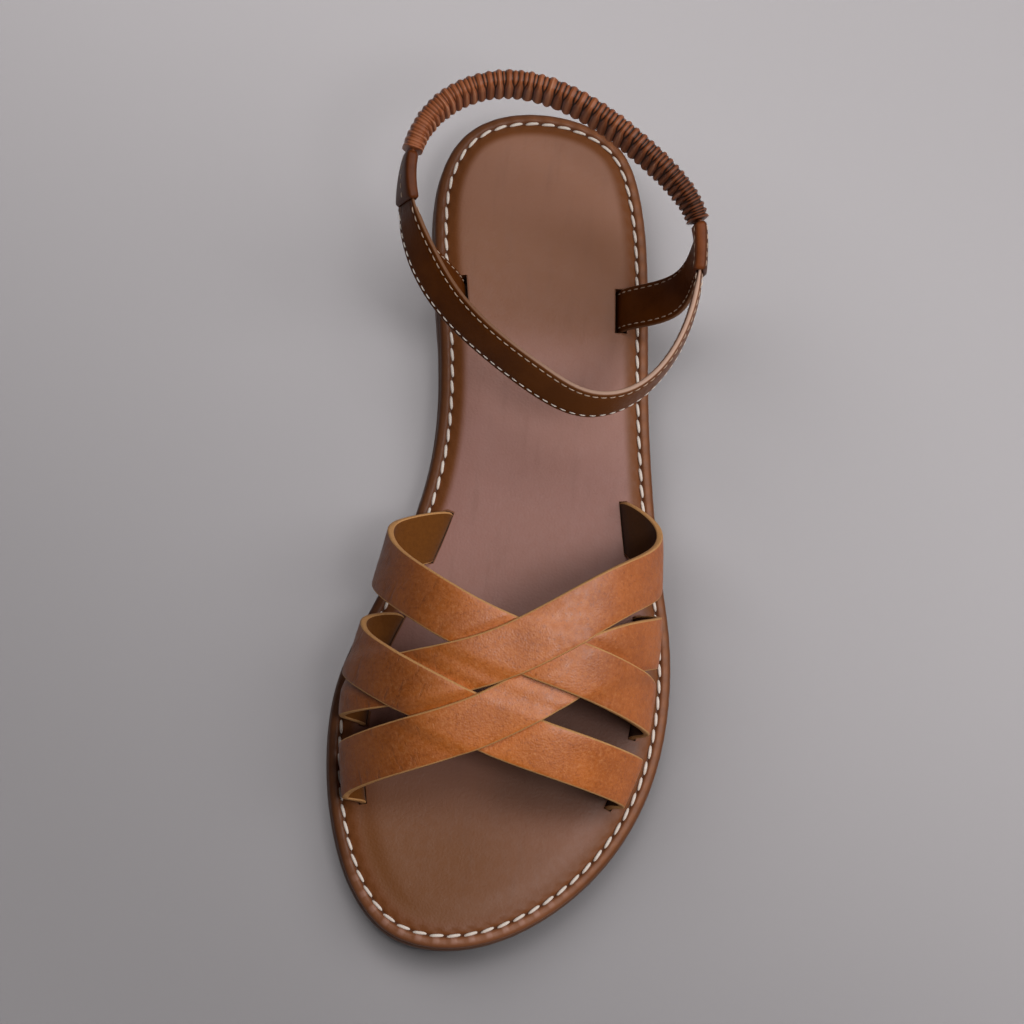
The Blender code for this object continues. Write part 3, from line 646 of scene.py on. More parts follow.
# %% Footbed leather
# Masks run along the foot (y), across it (x), in from the edge (inset) and from stitch to stitch (puff).
BED_TOE = (0.170, 0.053, 0.009)
BED_TONES_AND_PAINTED_LIGHT = (
    # Mid, waist and heel are paler and pinker than the toe: partly the leather's own tone, partly painted
    # sheen; the waist patch is painted sheen.
    (1.00, (0.308, 0.142, 0.112), ("y", -0.100, -0.040)),
    (1.00, (0.300, 0.130, 0.074), ("y", 0.015, 0.080)),
    (0.45, (0.420, 0.215, 0.180), ("y", 0.012, 0.030), ("y", 0.060, 0.044)),
    # Painted shade: a darker patch across the heel between the tabs, under the ankle ring.
    (0.45, (0.190, 0.068, 0.022), ("y", 0.050, 0.064), ("y", 0.098, 0.084)),
    # Painted sheen: paler, pinker leather on the right of the toe.
    (0.40, (0.300, 0.140, 0.100), ("y", -0.060, -0.090), ("x", -0.010, 0.032)),
    (0.25, (0.235, 0.088, 0.040), ("mottle", 0.35, 0.75)),
    (0.16, (0.140, 0.060, 0.036), ("streaks", 0.50, 0.80)),
    # Painted shade: a dark patch under the front straps, right of the middle.
    (0.60, (0.075, 0.026, 0.009), ("y", -0.088, -0.074), ("y", -0.030, -0.046), ("x", -0.008, 0.010)),
    (1.00, (0.180, 0.055, 0.013), ("inset", 8.8, 6.2)),
    (1.00, (0.180, 0.062, 0.024), ("inset", 4.4, 3.6)),
    (1.00, (0.250, 0.088, 0.032), ("inset", 3.4, 2.2), ("puff", -0.9, 0.9, 0.5, 1.0)),
    (1.00, (0.145, 0.043, 0.010), ("inset", 1.7, 0.8)),
    # Painted shade: the rim darker on the inner, left side.
    (0.52, (0.055, 0.014, 0.001), ("inset", 3.6, 2.8), ("x", 0.000, -0.026)),
    # Painted light: the toe's rim painted paler, with a painted highlight beside each stitch.
    (0.60, (0.262, 0.094, 0.038), ("inset", 3.6, 2.8), ("y", -0.098, -0.114)),
    (0.40, (0.460, 0.250, 0.190), ("inset", 0.9, 1.9), ("puff", 0.0, 0.95),
     ("inset", 3.6, 2.8), ("y", -0.098, -0.114)),
    # Painted shade: dark in the stitch holes along the groove.
    (0.75, (0.045, 0.015, 0.006), ("groove",)),
)
STREAK_STRETCH = (1.0, 0.16, 1.0)
bed_leather, tree = finish("footbed leather", 0.5, Specular_IOR_Level=0.32)
marks = {name: marked(tree, name) for name in ("inset", "puff", "groove")}
skin = layered(tree, BED_TOE, BED_TONES_AND_PAINTED_LIGHT, x=axis(tree, "X"), y=axis(tree, "Y"), **marks,
               mottle=cloudy(tree, 22.0, 3.0, 0.5),
               streaks=cloudy(tree, 260.0, 3.0, 0.6, STREAK_STRETCH))
paint(tree, Base_Color=skin, Roughness=uneven(tree, 420.0, 0.46, 0.54))
relief(tree, (cloudy(tree, 160.0, 2.0), 0.0004, 0.025), (cloudy(tree, 900.0, 3.0), 0.0002, 0.12),
       (pebbles(tree, 1500.0), 0.00012, 0.40))
footbed = piece_from("footbed_leather", *stacked(rings), bed_leather, "footbed_leather", "insole")
mark(footbed, "inset", np.repeat(ring_insets, EDGE_COUNT))
mark(footbed, "puff", np.tile(np.cos(stitch_phase), len(rings)))
mark(footbed, "groove", np.repeat(hill(ring_insets, STITCH_INSET, 0.4), EDGE_COUNT)
     * np.tile((1.4 - np.cos(stitch_phase)) / 2.4, len(rings)))

# %% [markdown]
# ## The surface the straps lie on
# A strap sandal's upper has no last left inside it, but its straps still lie on the shape of a
# foot. Eleven points round each section describe that shape from the slot at the big-toe side
# over the instep to the slot at the other side. A strap is then a path on this surface.

# %% Form of the foot
SLOT_INSET = 9.8
INSTEP = table("from_toe medial lateral crest", [
    (22.0, -29.0, 41.5, 27.0), (40.0, -32.2, 44.8, 32.5), (65.0, -35.6, 50.8, 41.5),
    (90.0, -32.0, 51.4, 48.0), (113.0, -27.4, 49.6, 52.0), (140.0, -24.5, 46.5, 55.0),
])
SHOULDER = 0.715
BULGE_SHARE = 0.42
GIRTH = 140.0
TURNS = np.array([0.0, 5.0, 8.5, 22.0, 39.0, 70.0, 101.0, 118.0, 131.5, 135.0, 140.0]) / GIRTH
CARDINAL = spline(np.eye(len(TURNS)), TURNS)


def around_foot(turn, y):
    """Spline round one section: slot, side bulge, shoulder, crest and back down to the other slot."""
    rows = along(INSTEP["from_toe"])
    bulge_m, bulge_l, crest = (by_row(rows, INSTEP[k], y) for k in ("medial", "lateral", "crest"))
    slot_m = edge_x(y, "medial") + SLOT_INSET
    slot_l = edge_x(y, "lateral") - SLOT_INSET
    ground = sole_height(y, "top")
    mid = (bulge_m + bulge_l) / 2
    half = (bulge_l - bulge_m) / 2
    bulge_z = ground + (crest - ground) * BULGE_SHARE
    shoulder_z = bulge_z + (crest - bulge_z) * SHOULDER
    xs = np.stack([slot_m, slot_m, slot_m - 0.4, bulge_m, mid - half * SHOULDER, mid,
                   mid + half * SHOULDER, bulge_l, slot_l + 0.4, slot_l, slot_l], axis=-1)
    side = [ground - 2.0, ground + 3.0, ground + 6.5, bulge_z, shoulder_z]
    zs = np.stack([*side, crest, *side[::-1]], axis=-1)
    weight = CARDINAL(turn)
    return np.stack([np.sum(weight * xs, -1), y, np.sum(weight * zs, -1)], axis=-1)


def surface_frame(turn, y):
    """Point, outward normal and the two tangents, by central differences."""
    e = 1e-3
    by_turn = (around_foot(turn + e, y) - around_foot(turn - e, y)) / (2 * e)
    by_y = (around_foot(turn, y + 0.1) - around_foot(turn, y - 0.1)) / 0.2
    return around_foot(turn, y), -unit(np.cross(by_y, by_turn)), by_turn, by_y


print("top of the instep at the ball:", around_foot(np.array(0.5), np.array(-50.0)).round(1))

# %% Strap paths and weave
STRAP_WIDTH = 14.6
STRAP_THICKNESS = 1.8
STRAP_EASE = 3.5
STRAP_DROOP = 0.22
WEAVE_AIR = 0.06
TURNED_FROM, TURNED_OVER = 10.0, 26.0
SLOT_RUN = 0.15
END_TURN = 2.35 / GIRTH
# Distances from the toe at slot, side, shoulder, crest, shoulder, side and slot, big-toe side first.
STRAPS = {
    "rear_medial": (117.5, 108.5, 95.0, 82.5, 75.5, 72.7, 72.5),
    "front_medial": (86.5, 81.0, 70.8, 58.9, 53.0, 51.6, 51.5),
    "rear_lateral": (68.0, 68.4, 70.2, 80.6, 101.8, 115.0, 126.0),
    "front_lateral": (45.8, 46.4, 51.0, 63.8, 84.5, 91.5, 93.5),
}
LIES_OVER = {"rear_lateral": "rear_medial", "front_medial": "rear_lateral",
             "front_lateral": "front_medial", "rear_medial": "front_lateral"}


def strap_path(v):
    """Spline of the strap's Y over the turn, run on a little at both slots."""
    ends = v[0] + (v[0] - v[1]) * SLOT_RUN, v[6] + (v[6] - v[5]) * SLOT_RUN
    stations = TURNS[[0, 2, 3, 4, 5, 6, 7, 8, 10]]
    return spline(along([ends[0], *v, ends[1]])[:, None], stations)


PATHS = {name: strap_path(v) for name, v in STRAPS.items()}


def path_rate(name, turn):
    """Y of the strap's middle and its change with the turn."""
    e = 1e-3
    path = PATHS[name]
    return path(turn)[..., 0], (path(turn + e)[..., 0] - path(turn - e)[..., 0]) / (2 * e)


def inside_strap(name, turn, y):
    """Half the width less the distance from the strap's middle: positive on the strap."""
    middle, rate = path_rate(name, turn)
    reach = np.linalg.norm(surface_frame(turn, middle)[2], axis=-1)
    return STRAP_WIDTH / 2 - np.abs(y - middle) / np.sqrt(1 + (rate / reach) ** 2)


def weave_height(name, turn, y):
    """Half a thickness up where the strap lies over another, half down where it lies under."""
    over = [k for k, v in LIES_OVER.items() if v == name][0]
    rise, sink = (soft_step((inside_strap(k, turn, y) + STRAP_EASE) / (STRAP_EASE + 1.0))
                  for k in (LIES_OVER[name], over))
    return (STRAP_THICKNESS + WEAVE_AIR) / 2 * (rise - sink)


def strap_band(name, turns, across_mm, lift_mm, woven=True):
    """A section of (across, lift) pairs carried along the strap, parallel to its slots near them."""
    y, rate = path_rate(name, turns)
    p, normal, by_turn, by_y = surface_frame(turns, y)
    side = np.cross(normal, unit(by_turn + by_y * rate[:, None]))
    tt, ty, yy = (np.sum(a * b, -1) for a, b in ((by_turn, by_turn), (by_turn, by_y), (by_y, by_y)))
    st, sy = np.sum(side * by_turn, -1), np.sum(side * by_y, -1)
    square = soft_step((np.minimum(turns, 1 - turns) * GIRTH - TURNED_FROM) / TURNED_OVER)
    d_turn = (st * yy - sy * ty) / (tt * yy - ty * ty) * square
    d_y = (1.0 - d_turn * st) / sy
    t_all = turns[:, None] + d_turn[:, None] * across_mm
    y_all = y[:, None] + d_y[:, None] * across_mm
    q, n, _, _ = surface_frame(t_all, y_all)
    rise = weave_height(name, t_all, y_all) if woven else 0.0
    return q + n * (rise + lift_mm)[..., None]


print("straps", sorted(PATHS))

# %% [markdown]
# ## Woven straps
# Each strap is cut from one tan hide: a grained top, a pale raw edge all along, and a fuzzy
# flesh side below. Its section is a flat bar with eased corners, carried along its path and
# lifted or sunk where it crosses its neighbours. Three finishes go on by face: grain, edge, flesh.

# %% Strap section
EASE = 0.45
STRAP_CORNER = math.radians(50.0)
COLUMNS = 15
ROWS = 230
corner = np.linspace(0.0, math.pi / 2, 4)


def bar_section(width, thickness, columns, ease):
    """Closed flat bar: top, eased edge, underside, eased edge, as across and lift with its part."""
    flat = np.linspace(-1.0, 1.0, columns) * (width / 2 - ease)
    curve_c = width / 2 - ease + ease * np.sin(corner)
    curve_h = thickness / 2 - ease + ease * np.cos(corner)
    c = np.concatenate([flat, curve_c[1:], curve_c[::-1][:-1]])
    h = np.concatenate([np.full(columns, thickness / 2), curve_h[1:], -curve_h[::-1][:-1]])
    turn = 2 * len(corner) - 1
    part = np.repeat([0, 1, 2, 1], [columns - 1, turn, columns - 1, turn])
    return np.append(c, -c), np.append(h, -h), part


bar_c, bar_h, bar_part = bar_section(STRAP_WIDTH, STRAP_THICKNESS, COLUMNS, EASE)
droop = STRAP_DROOP * (np.abs(bar_c) / (STRAP_WIDTH / 2)) ** 4
print("points round a strap's section", len(bar_c), len(bar_part))

# %% Strap finishes
FOLD_STRETCH = 0.22


def folds(tree):
    """Noise drawn out across the strap, from its marked distances along and across in metres."""
    drawn_out = times(tree, marked(tree, "across"), FOLD_STRETCH)
    place = step(tree, "CombineXYZ", {0: marked(tree, "along"), 1: drawn_out})
    inputs = {"Vector": place, "Scale": 620.0, "Detail": 3.0, "Roughness": 0.6, "Distortion": 0.3}
    return step(tree, "TexNoise", inputs, "Fac")


TAN = (0.365, 0.088, 0.008)
TAN_TONES = (
    (1.00, (0.485, 0.128, 0.016), ("blotch", 0.30, 0.72)),
    (0.50, (0.560, 0.205, 0.060), ("speck", 0.50, 0.68)),
    (0.50, (0.190, 0.042, 0.006), ("speck", 0.48, 0.32)),
)
# Painted light on the straps: shade painted on their left sides, sheen painted along the middle with less
# on the right, and the front straps painted lighter.
PAINTED_SHADE_LEFT, PAINTED_SHEEN_MIDDLE, PAINTED_LIGHT_RIGHT = (0.54, 0.53, 0.50), (1.14, 1.15, 1.18), (0.89, 0.85, 0.78)
PAINTED_LIGHT_FRONT = (1.14, 1.15, 1.13)
CREASE_SHADE_TONE, CREASE_SHADE_SHARE = (0.130, 0.034, 0.006), 0.45
strap_grain, tree = finish("tan strap leather", 0.46, Specular_IOR_Level=0.7)
x, y = axis(tree, "X"), axis(tree, "Y")
tan = layered(tree, TAN, TAN_TONES, blotch=cloudy(tree, 75.0, 5.0, 0.62),
              speck=cloudy(tree, 1000.0, 4.0, 0.75))
# This mask rises from the painted shade on the left to the painted sheen in the middle.
shade_to_sheen = between(tree, x, -0.040, -0.004)
painted_light = blend(tree, shade_to_sheen, PAINTED_SHADE_LEFT, PAINTED_SHEEN_MIDDLE)
painted_light = blend(tree, between(tree, x, 0.006, 0.036), painted_light, PAINTED_LIGHT_RIGHT)
painted_light = blend(tree, between(tree, y, -0.040, -0.075), painted_light, PAINTED_LIGHT_FRONT, "MULTIPLY")
tan = blend(tree, 1.0, tan, painted_light, "MULTIPLY")
# Creases are real folds in the bump; their darker colour is painted shade in the folds, laid only on the
# left.
creases = times(tree, between(tree, folds(tree), 0.56, 0.72), between(tree, shade_to_sheen, 0.9, 0.1))
tan = blend(tree, times(tree, creases, CREASE_SHADE_SHARE), tan, CREASE_SHADE_TONE)
paint(tree, Base_Color=tan, Roughness=uneven(tree, 500.0, 0.40, 0.56))
relief(tree, (cloudy(tree, 240.0, 3.0), 0.0003, 0.15), (pebbles(tree, 1900.0), 0.00012, 0.5),
       (times(tree, creases, -1.0), 0.0002, 0.5))

raw_edge, tree = finish("raw strap edge", 0.8)
fibre = cloudy(tree, 1500.0, 3.0, 0.7)
paint(tree, Base_Color=blend(tree, fibre, (0.35, 0.150, 0.044), (0.62, 0.320, 0.115)))
relief(tree, (fibre, 0.0002, 0.4))

# Painted shade: the flesh side darker on the outer, right side.
FLESH_SHADE_TONES = ((0.80, (0.040, 0.011, 0.001), ("x", 0.012, 0.036)),)
flesh_side, tree = finish("flesh side of the straps", 0.95, Specular_IOR_Level=0.1,
                          Sheen_Weight=0.08, Sheen_Roughness=0.5)
nap = cloudy(tree, 800.0, 4.0, 0.75)
suede = blend(tree, nap, (0.100, 0.030, 0.004), (0.190, 0.062, 0.009))
paint(tree, Base_Color=layered(tree, suede, FLESH_SHADE_TONES, x=axis(tree, "X")))
relief(tree, (nap, 0.0004, 0.35))
print("strap finishes", [m.name for m in (strap_grain, raw_edge, flesh_side)])

# %% Strap surface
turns = END_TURN + (1 - 2 * END_TURN) * np.linspace(0.0, 1.0, ROWS)
bands = [strap_band(name, turns, bar_c, bar_h - droop) for name in STRAPS]
section = len(bar_c)
faces = [f for k in range(len(bands)) for f in tube(ROWS, section, k * ROWS * section)]
straps = piece_from("woven_straps", np.stack(bands), faces, strap_grain, "strap_leather",
                    "upper_woven_straps")
straps.data.materials.append(raw_edge)
straps.data.materials.append(flesh_side)
parts = np.tile([*np.tile(bar_part, ROWS - 1), 1, 1], len(bands))
straps.data.polygons.foreach_set("material_index", parts.astype(np.int32))
straps.data.set_sharp_from_angle(angle=STRAP_CORNER)
mark(straps, "along", np.concatenate([np.repeat(turns * GIRTH * MM + k, section)
                                      for k in range(len(bands))]))
mark(straps, "across", np.tile(bar_c * MM, ROWS * len(bands)))

# %% [markdown]
# ## The ankle ring
# One closed line runs from the outer loop over the front of the ankle to the inner loop and on
# round the back of the heel. It carries three things: the flat front strap, the gathered back
# and the two loops. At each point it has a run, an up that leans inward, and an outward direction.

# %% Ring line
RING = table("across from_toe height lean", [
    (49.7, 197.5, 60.0, 6.5), (49.8, 185.0, 58.2, 6.0), (46.8, 171.4, 56.6, 4.0),
    (41.3, 160.9, 55.2, 4.0), (32.7, 153.1, 54.2, 10.5), (22.6, 150.6, 54.0, 22.0),
    (8.9, 155.2, 54.6, 31.0), (-6.3, 164.3, 55.6, 31.0), (-19.2, 174.8, 56.8, 36.0),
    (-27.7, 186.4, 58.2, 36.0), (-32.6, 197.5, 59.8, 21.0), (-34.3, 207.5, 61.2, 10.0),
    (-33.2, 217.5, 63.0, 4.0), (-28.6, 226.5, 64.6, 0.0), (-19.8, 233.6, 65.8, 0.0),
    (-8.0, 236.9, 66.4, 0.0), (4.0, 235.6, 66.4, 0.0), (17.0, 230.6, 66.0, 0.0),
    (31.5, 221.6, 65.0, 0.0), (41.8, 213.4, 63.4, 2.0), (47.6, 205.8, 61.6, 4.0),
])
LATERAL_LOOP = 0
MEDIAL_LOOP = 11
ring_rows = np.column_stack([RING["across"], along(RING["from_toe"]), RING["height"], RING["lean"]])
ring_rows = np.vstack([ring_rows, ring_rows[:1]])
RING_T = chords(ring_rows[:, :3])
RING_AT = spline(ring_rows, RING_T, closed=True)
RING_LENGTH = RING_T[-1]
RING_MIDDLE = ring_rows[:-1, :3].mean(0)


def ring_frame(s):
    """Point, run, leaning up and outward direction at each distance round the ring."""
    e = 0.05
    rows = RING_AT(s % RING_LENGTH)
    run = unit(RING_AT((s + e) % RING_LENGTH)[..., :3] - RING_AT((s - e) % RING_LENGTH)[..., :3])
    out = unit(np.stack([-run[..., 1], run[..., 0], np.zeros_like(run[..., 0])], axis=-1))
    out = out * np.sign(np.sum(out * (rows[..., :3] - RING_MIDDLE), -1))[..., None]
    up = np.cross(run, out)
    up = up * np.sign(up[..., 2:3])
    lean = np.radians(rows[..., 3])[..., None]
    leaning_up = up * np.cos(lean) - out * np.sin(lean)
    return rows[..., :3], run, leaning_up, out * np.cos(lean) + up * np.sin(lean)


def on_ring(s, up_mm, out_mm):
    """Sections across the ring, from up and outward offsets."""
    p, _, up, out = ring_frame(s)
    return swept(p, up, out, up_mm, out_mm)


print("round the ring", RING_LENGTH.round(1), "mm")

# %% [markdown]
# ## Ankle strap
# A dark strap of two layers, glued and sewn along both edges with fine pale thread. The seams
# pinch it, so each face swells a little between two shallow grooves. The section is an upright
# bar whose half thickness follows that swell, and it narrows where it slips into the loops.

# %% Ankle strap surface
LOOP_LENGTH = 14.0
LOOP_MOUTH = LOOP_LENGTH / 2
STRAP_MOUTH = LOOP_MOUTH + 0.6
LOOP_WALL = 1.0
CORE_HEIGHT = 10.0
CORE_THICKNESS = 1.3
STRAP_SWELL = 5.0
ANKLE_WIDTH = 11.6
ANKLE_THICKNESS = 2.2
SEAM_INSET = 1.35
SEAM_REACH = 0.42
SEAM_DEPTH = 0.16
FACE_SWELL = 0.12
SECTION_HALF = 31
ANKLE_ROWS = 240
PAINTED_SHEEN_FROM, PAINTED_SHEEN_OVER = 0.25, 0.50


def sewn_section(width, thickness):
    """Upright bar, half thickness t(1 - |x|^10)^0.5 with a groove at each seam, as up, out and edge."""
    x = np.sin(np.linspace(-1.0, 1.0, SECTION_HALF) * math.pi / 2)
    full = np.sqrt(np.clip(1 - np.abs(x) ** 10, 0.0, 1.0))
    u = width[..., None] / 2 * x
    seam = hill(np.abs(u), width[..., None] / 2 - SEAM_INSET, SEAM_REACH)
    face = 1 - FACE_SWELL + FACE_SWELL * np.cos(x * math.pi / 2)
    h = thickness[..., None] / 2 * full * face - SEAM_DEPTH * seam
    h = np.maximum(h, 0.02)
    up = np.concatenate([u, u[..., -2:0:-1]], axis=-1)
    out = np.concatenate([h, -h[..., -2:0:-1]], axis=-1)
    edge = np.abs(np.concatenate([x, x[-2:0:-1]]))
    return up, out, edge


def ring_size(s, start, end, core, full, mouth, swell):
    """The loop's core at both ends of a stretch, the full size between, by soft steps."""
    reach = np.minimum(s - start, end - s)
    return core + (full - core) * soft_step((reach - mouth) / swell)


front = RING_T[LATERAL_LOOP] + CLEARANCE, RING_T[MEDIAL_LOOP] - CLEARANCE
front_s = np.linspace(*front, ANKLE_ROWS)
front_width = ring_size(front_s, *front, CORE_HEIGHT, ANKLE_WIDTH, STRAP_MOUTH, STRAP_SWELL)
front_thick = ring_size(front_s, *front, CORE_THICKNESS, ANKLE_THICKNESS, STRAP_MOUTH, STRAP_SWELL)
up, out, edge = sewn_section(front_width, front_thick)
ankle_points = on_ring(front_s, up, out)

dark_leather, tree = finish("dark strap leather", 0.4, Specular_IOR_Level=0.1)
rubbed = marked(tree, "rubbed")
DARK_TONES = (
    (1.00, (0.102, 0.025, 0.0015), ("cloud", 0.3, 0.7)),
    # Painted sheen: the strap's face paler towards the outer loop; its edge turns from brown to pale tan
    # there, partly its own colour and partly painted sheen.
    (0.50, (0.255, 0.090, 0.030), ("rubbed",)),
    (1.00, blend(tree, rubbed, (0.190, 0.088, 0.044), (0.550, 0.350, 0.260)), ("edge", 0.93, 0.99)),
)
hide = layered(tree, (0.072, 0.016, 0.0006), DARK_TONES, rubbed=rubbed, edge=marked(tree, "edge"),
               cloud=cloudy(tree, 110.0, 5.0, 0.6))
paint(tree, Base_Color=hide, Roughness=uneven(tree, 500.0, 0.34, 0.48))
relief(tree, (cloudy(tree, 260.0, 3.0), 0.0003, 0.12), (pebbles(tree, 2100.0), 0.0001, 0.3))

columns = len(edge)
ankle = piece_from("ankle_strap_leather", ankle_points, tube(ANKLE_ROWS, columns), dark_leather,
                   "dark_leather", "ankle_strap")
mark(ankle, "edge", np.tile(edge, ANKLE_ROWS))
# Share of the painted sheen: full near the outer loop, gone past the front.
front_share = (front_s - front[0]) / (front[1] - front[0])
mark(ankle, "rubbed", np.repeat(1 - soft_step((front_share - PAINTED_SHEEN_FROM) / PAINTED_SHEEN_OVER), columns))

# %% [markdown]
# ## Tabs and their loops
# A tab comes up through a slot near the edge of the footbed, swings outward and ends in a loop
# that holds the ankle strap on one side and the gathered back on the other. The strip is the
# same sewn section carried along a spline. The loop is a sleeve: an outer skin, a rounded lip,
# an inner skin and a lip again, so its grid closes in both directions.

# %% Tab surfaces
TAB_WIDTH = 13.0
TAB_THICKNESS = 2.2
TAB_ROWS = 60
TAB_UPRIGHT, SLOT_DEPTH, NECK = 5.0, 2.0, 2.5
SLEEVE_ROWS, SLEEVE_COLUMNS = 25, 44
SLEEVE_ROUND = (0.5, 0.4)
LIP_POWER, LIP_WALL = 14, 0.35
# Loop, side, slot from the toe and in from the edge, then across, from toe and height of the swing.
TABS = {
    "lateral": (LATERAL_LOOP, 1.0, 190.8, 9.0, 46.6, 192.6, 31.5),
    "medial": (MEDIAL_LOOP, -1.0, 189.3, 7.8, -28.0, 196.6, 32.0),
}


def tab_line(side, foot_drop):
    """Spline slot, swing, neck, loop; the width turns from the slot's run to the ring's run."""
    loop, sign, slot, inset, *swing = TABS[side]
    y_slot = float(along(slot))
    x_slot = float(edge_x(y_slot, side)) - sign * inset
    slope = float(edge_x(y_slot + 5.0, side) - edge_x(y_slot - 5.0, side)) / 10.0
    ground = float(sole_height(y_slot, "top"))
    p, run, up, _ = (v[0] for v in ring_frame(np.array([RING_T[loop]])))
    run = run * np.sign(run[1])
    low = p - up * (CORE_HEIGHT / 2 + CLEARANCE + LOOP_WALL * 0.6)
    swing = np.array([swing[0], along(swing[1]), swing[2]])
    neck = low - (up + unit(low - swing)) * NECK
    foot = (x_slot, y_slot, ground - SLOT_DEPTH), (x_slot + sign * 0.4, y_slot, ground + TAB_UPRIGHT)
    knots = np.array([*foot, swing, neck, low])
    t = chords(knots)
    walk = np.linspace(foot_drop, t[-1], TAB_ROWS)
    line = spline(knots, t)(walk)
    turn = soft_step((walk - t[1] + NECK) / (t[-1] - t[1] + NECK))[:, None]
    wide = unit(np.array([slope, 1.0, 0.0]) / math.hypot(slope, 1.0) * (1 - turn) + run * turn)
    face = unit(np.cross(np.gradient(line, axis=0), wide))
    return line, wide, face * np.sign(np.sum(face * [sign, 0, 0], -1))[:, None]


def oval(count, power):
    """Rounded box of unit size: sine and cosine raised to a power, as up and out."""
    a = np.arange(count) * 2 * math.pi / count
    return tuple(np.sign(f) * np.abs(f) ** power / 2 for f in (np.sin(a), np.cos(a)))


def sleeve(loop):
    """Closed grid: outer skin with rounded lips, then the inner skin back."""
    walk = np.linspace(-1.0, 1.0, SLEEVE_ROWS)
    lip = np.sqrt(np.clip(1 - np.abs(walk) ** LIP_POWER, 0.0, 1.0))
    wall = 2 * LOOP_WALL * (LIP_WALL + (1 - LIP_WALL) * lip)
    outer, inner = (oval(SLEEVE_COLUMNS, power) for power in SLEEVE_ROUND)
    holes = CORE_HEIGHT + 2 * CLEARANCE, CORE_THICKNESS + 2 * CLEARANCE
    u, o = (np.concatenate([a * (hole + wall)[:, None], np.tile(b * hole, (SLEEVE_ROWS, 1))])
            for a, b, hole in zip(outer, inner, holes))
    s = RING_T[loop] + np.concatenate([walk, walk[::-1]]) * LOOP_LENGTH / 2
    outside = np.concatenate([np.tile(soft_step(outer[1] * 4 - 0.6), (SLEEVE_ROWS, 1)),
                              np.zeros((SLEEVE_ROWS, SLEEVE_COLUMNS))])
    return on_ring(s, u, o), outside


LOOP_TONES = (
    (1.00, (0.210, 0.056, 0.015), ("cloud", 0.3, 0.7)),
    # Painted shade: the inner, left loop darker.
    (0.45, (0.040, 0.008, 0.001), ("x", 0.0, -0.02)),
    (1.00, (0.082, 0.019, 0.003), ("outside",)),
)
loop_leather, tree = finish("loop leather", 0.45, Specular_IOR_Level=0.15)
hide = layered(tree, (0.130, 0.030, 0.006), LOOP_TONES, x=axis(tree, "X"), outside=marked(tree, "outside"),
               cloud=cloudy(tree, 140.0, 5.0, 0.6))
paint(tree, Base_Color=hide)
relief(tree, (cloudy(tree, 300.0, 3.0), 0.0003, 0.2), (pebbles(tree, 2100.0), 0.0001, 0.3))

FOOT_DROP = 2.4
tab_lines = {side: tab_line(side, FOOT_DROP) for side in TABS}
for side, lines in tab_lines.items():
    ones = np.ones(TAB_ROWS)
    up, out, edge = sewn_section(ones * TAB_WIDTH, ones * TAB_THICKNESS)
    strip = piece_from(f"tab_{side}_leather", swept(*lines, up, out), tube(TAB_ROWS, len(edge)),
                       dark_leather, "dark_leather", "tab_" + side)
    mark(strip, "edge", np.tile(edge, TAB_ROWS))
    ring, outside = sleeve(TABS[side][0])
    loop = piece_from(f"tab_{side}_loop", ring, grid_faces(*ring.shape[:2], loop_rows=True),
                      loop_leather, "dark_leather", "tab_" + side)
    mark(loop, "outside", outside)

# %% [markdown]
# ## Slots
# The straps and tabs go down through cuts in the footbed. A cutter for each slot is the strap's
# own band made a little thicker, so the cut follows the strap. One Boolean takes them all out at
# once, and its result replaces the footbed's mesh.

# %% Cut the slots
SLOT_PLAY = 0.23
SLOT_SHIFT = 0.11
SLOT_REACH = 11.0 / GIRTH
SLOT_ROWS = 8
TAB_PLAY, TAB_SHIFT = 0.6, 0.3
SLOT_CORNER = math.radians(48.0)
box_c = np.array([-1.0, -0.33, 0.33, 1.0, 1.0, 0.33, -0.33, -1.0])
box_h = np.repeat([1.0, -1.0], 4)
slot_c = box_c * (STRAP_WIDTH / 2 + SLOT_PLAY)
slot_h = box_h * (STRAP_THICKNESS / 2 + SLOT_PLAY) - SLOT_SHIFT
tab_c = box_c * (TAB_WIDTH / 2 + SLOT_PLAY)
tab_h = box_h * (TAB_THICKNESS / 2 + TAB_PLAY) - TAB_SHIFT
cutters = [strap_band(name, np.linspace(*ends, SLOT_ROWS), slot_c, slot_h, woven=False)
           for name in STRAPS for ends in ((0.0, SLOT_REACH), (1 - SLOT_REACH, 1.0))]
cutters += [swept(*(v[:14:2] for v in tab_line(side, 0.0)), tab_c, tab_h) for side in TABS]
corners = np.vstack([c.reshape(-1, 3) for c in cutters])
starts = np.cumsum([0] + [c.shape[0] * c.shape[1] for c in cutters])
faces = [f for c, start in zip(cutters, starts) for f in tube(*c.shape[:2], start)]
cutter_mesh = bpy.data.meshes.new("slot cutters")
cutter_mesh.from_pydata(((corners + SHIFT) * MM).tolist(), [], faces)
shape = bmesh.new()
shape.from_mesh(cutter_mesh)
bmesh.ops.recalc_face_normals(shape, faces=shape.faces)
shape.to_mesh(cutter_mesh)
shape.free()
cutter = bpy.data.objects.new("slot_cutters", cutter_mesh)
bpy.context.scene.collection.objects.link(cutter)
cut = footbed.modifiers.new("slots", "BOOLEAN")
cut.operation = "DIFFERENCE"
cut.solver = "EXACT"
cut.object = cutter
graph = bpy.context.evaluated_depsgraph_get()
footbed.data = bpy.data.meshes.new_from_object(footbed.evaluated_get(graph))
footbed.modifiers.clear()
bpy.data.objects.remove(cutter)
footbed.data.set_sharp_from_angle(angle=SLOT_CORNER)
print("footbed with slots:", len(footbed.data.polygons), "faces")

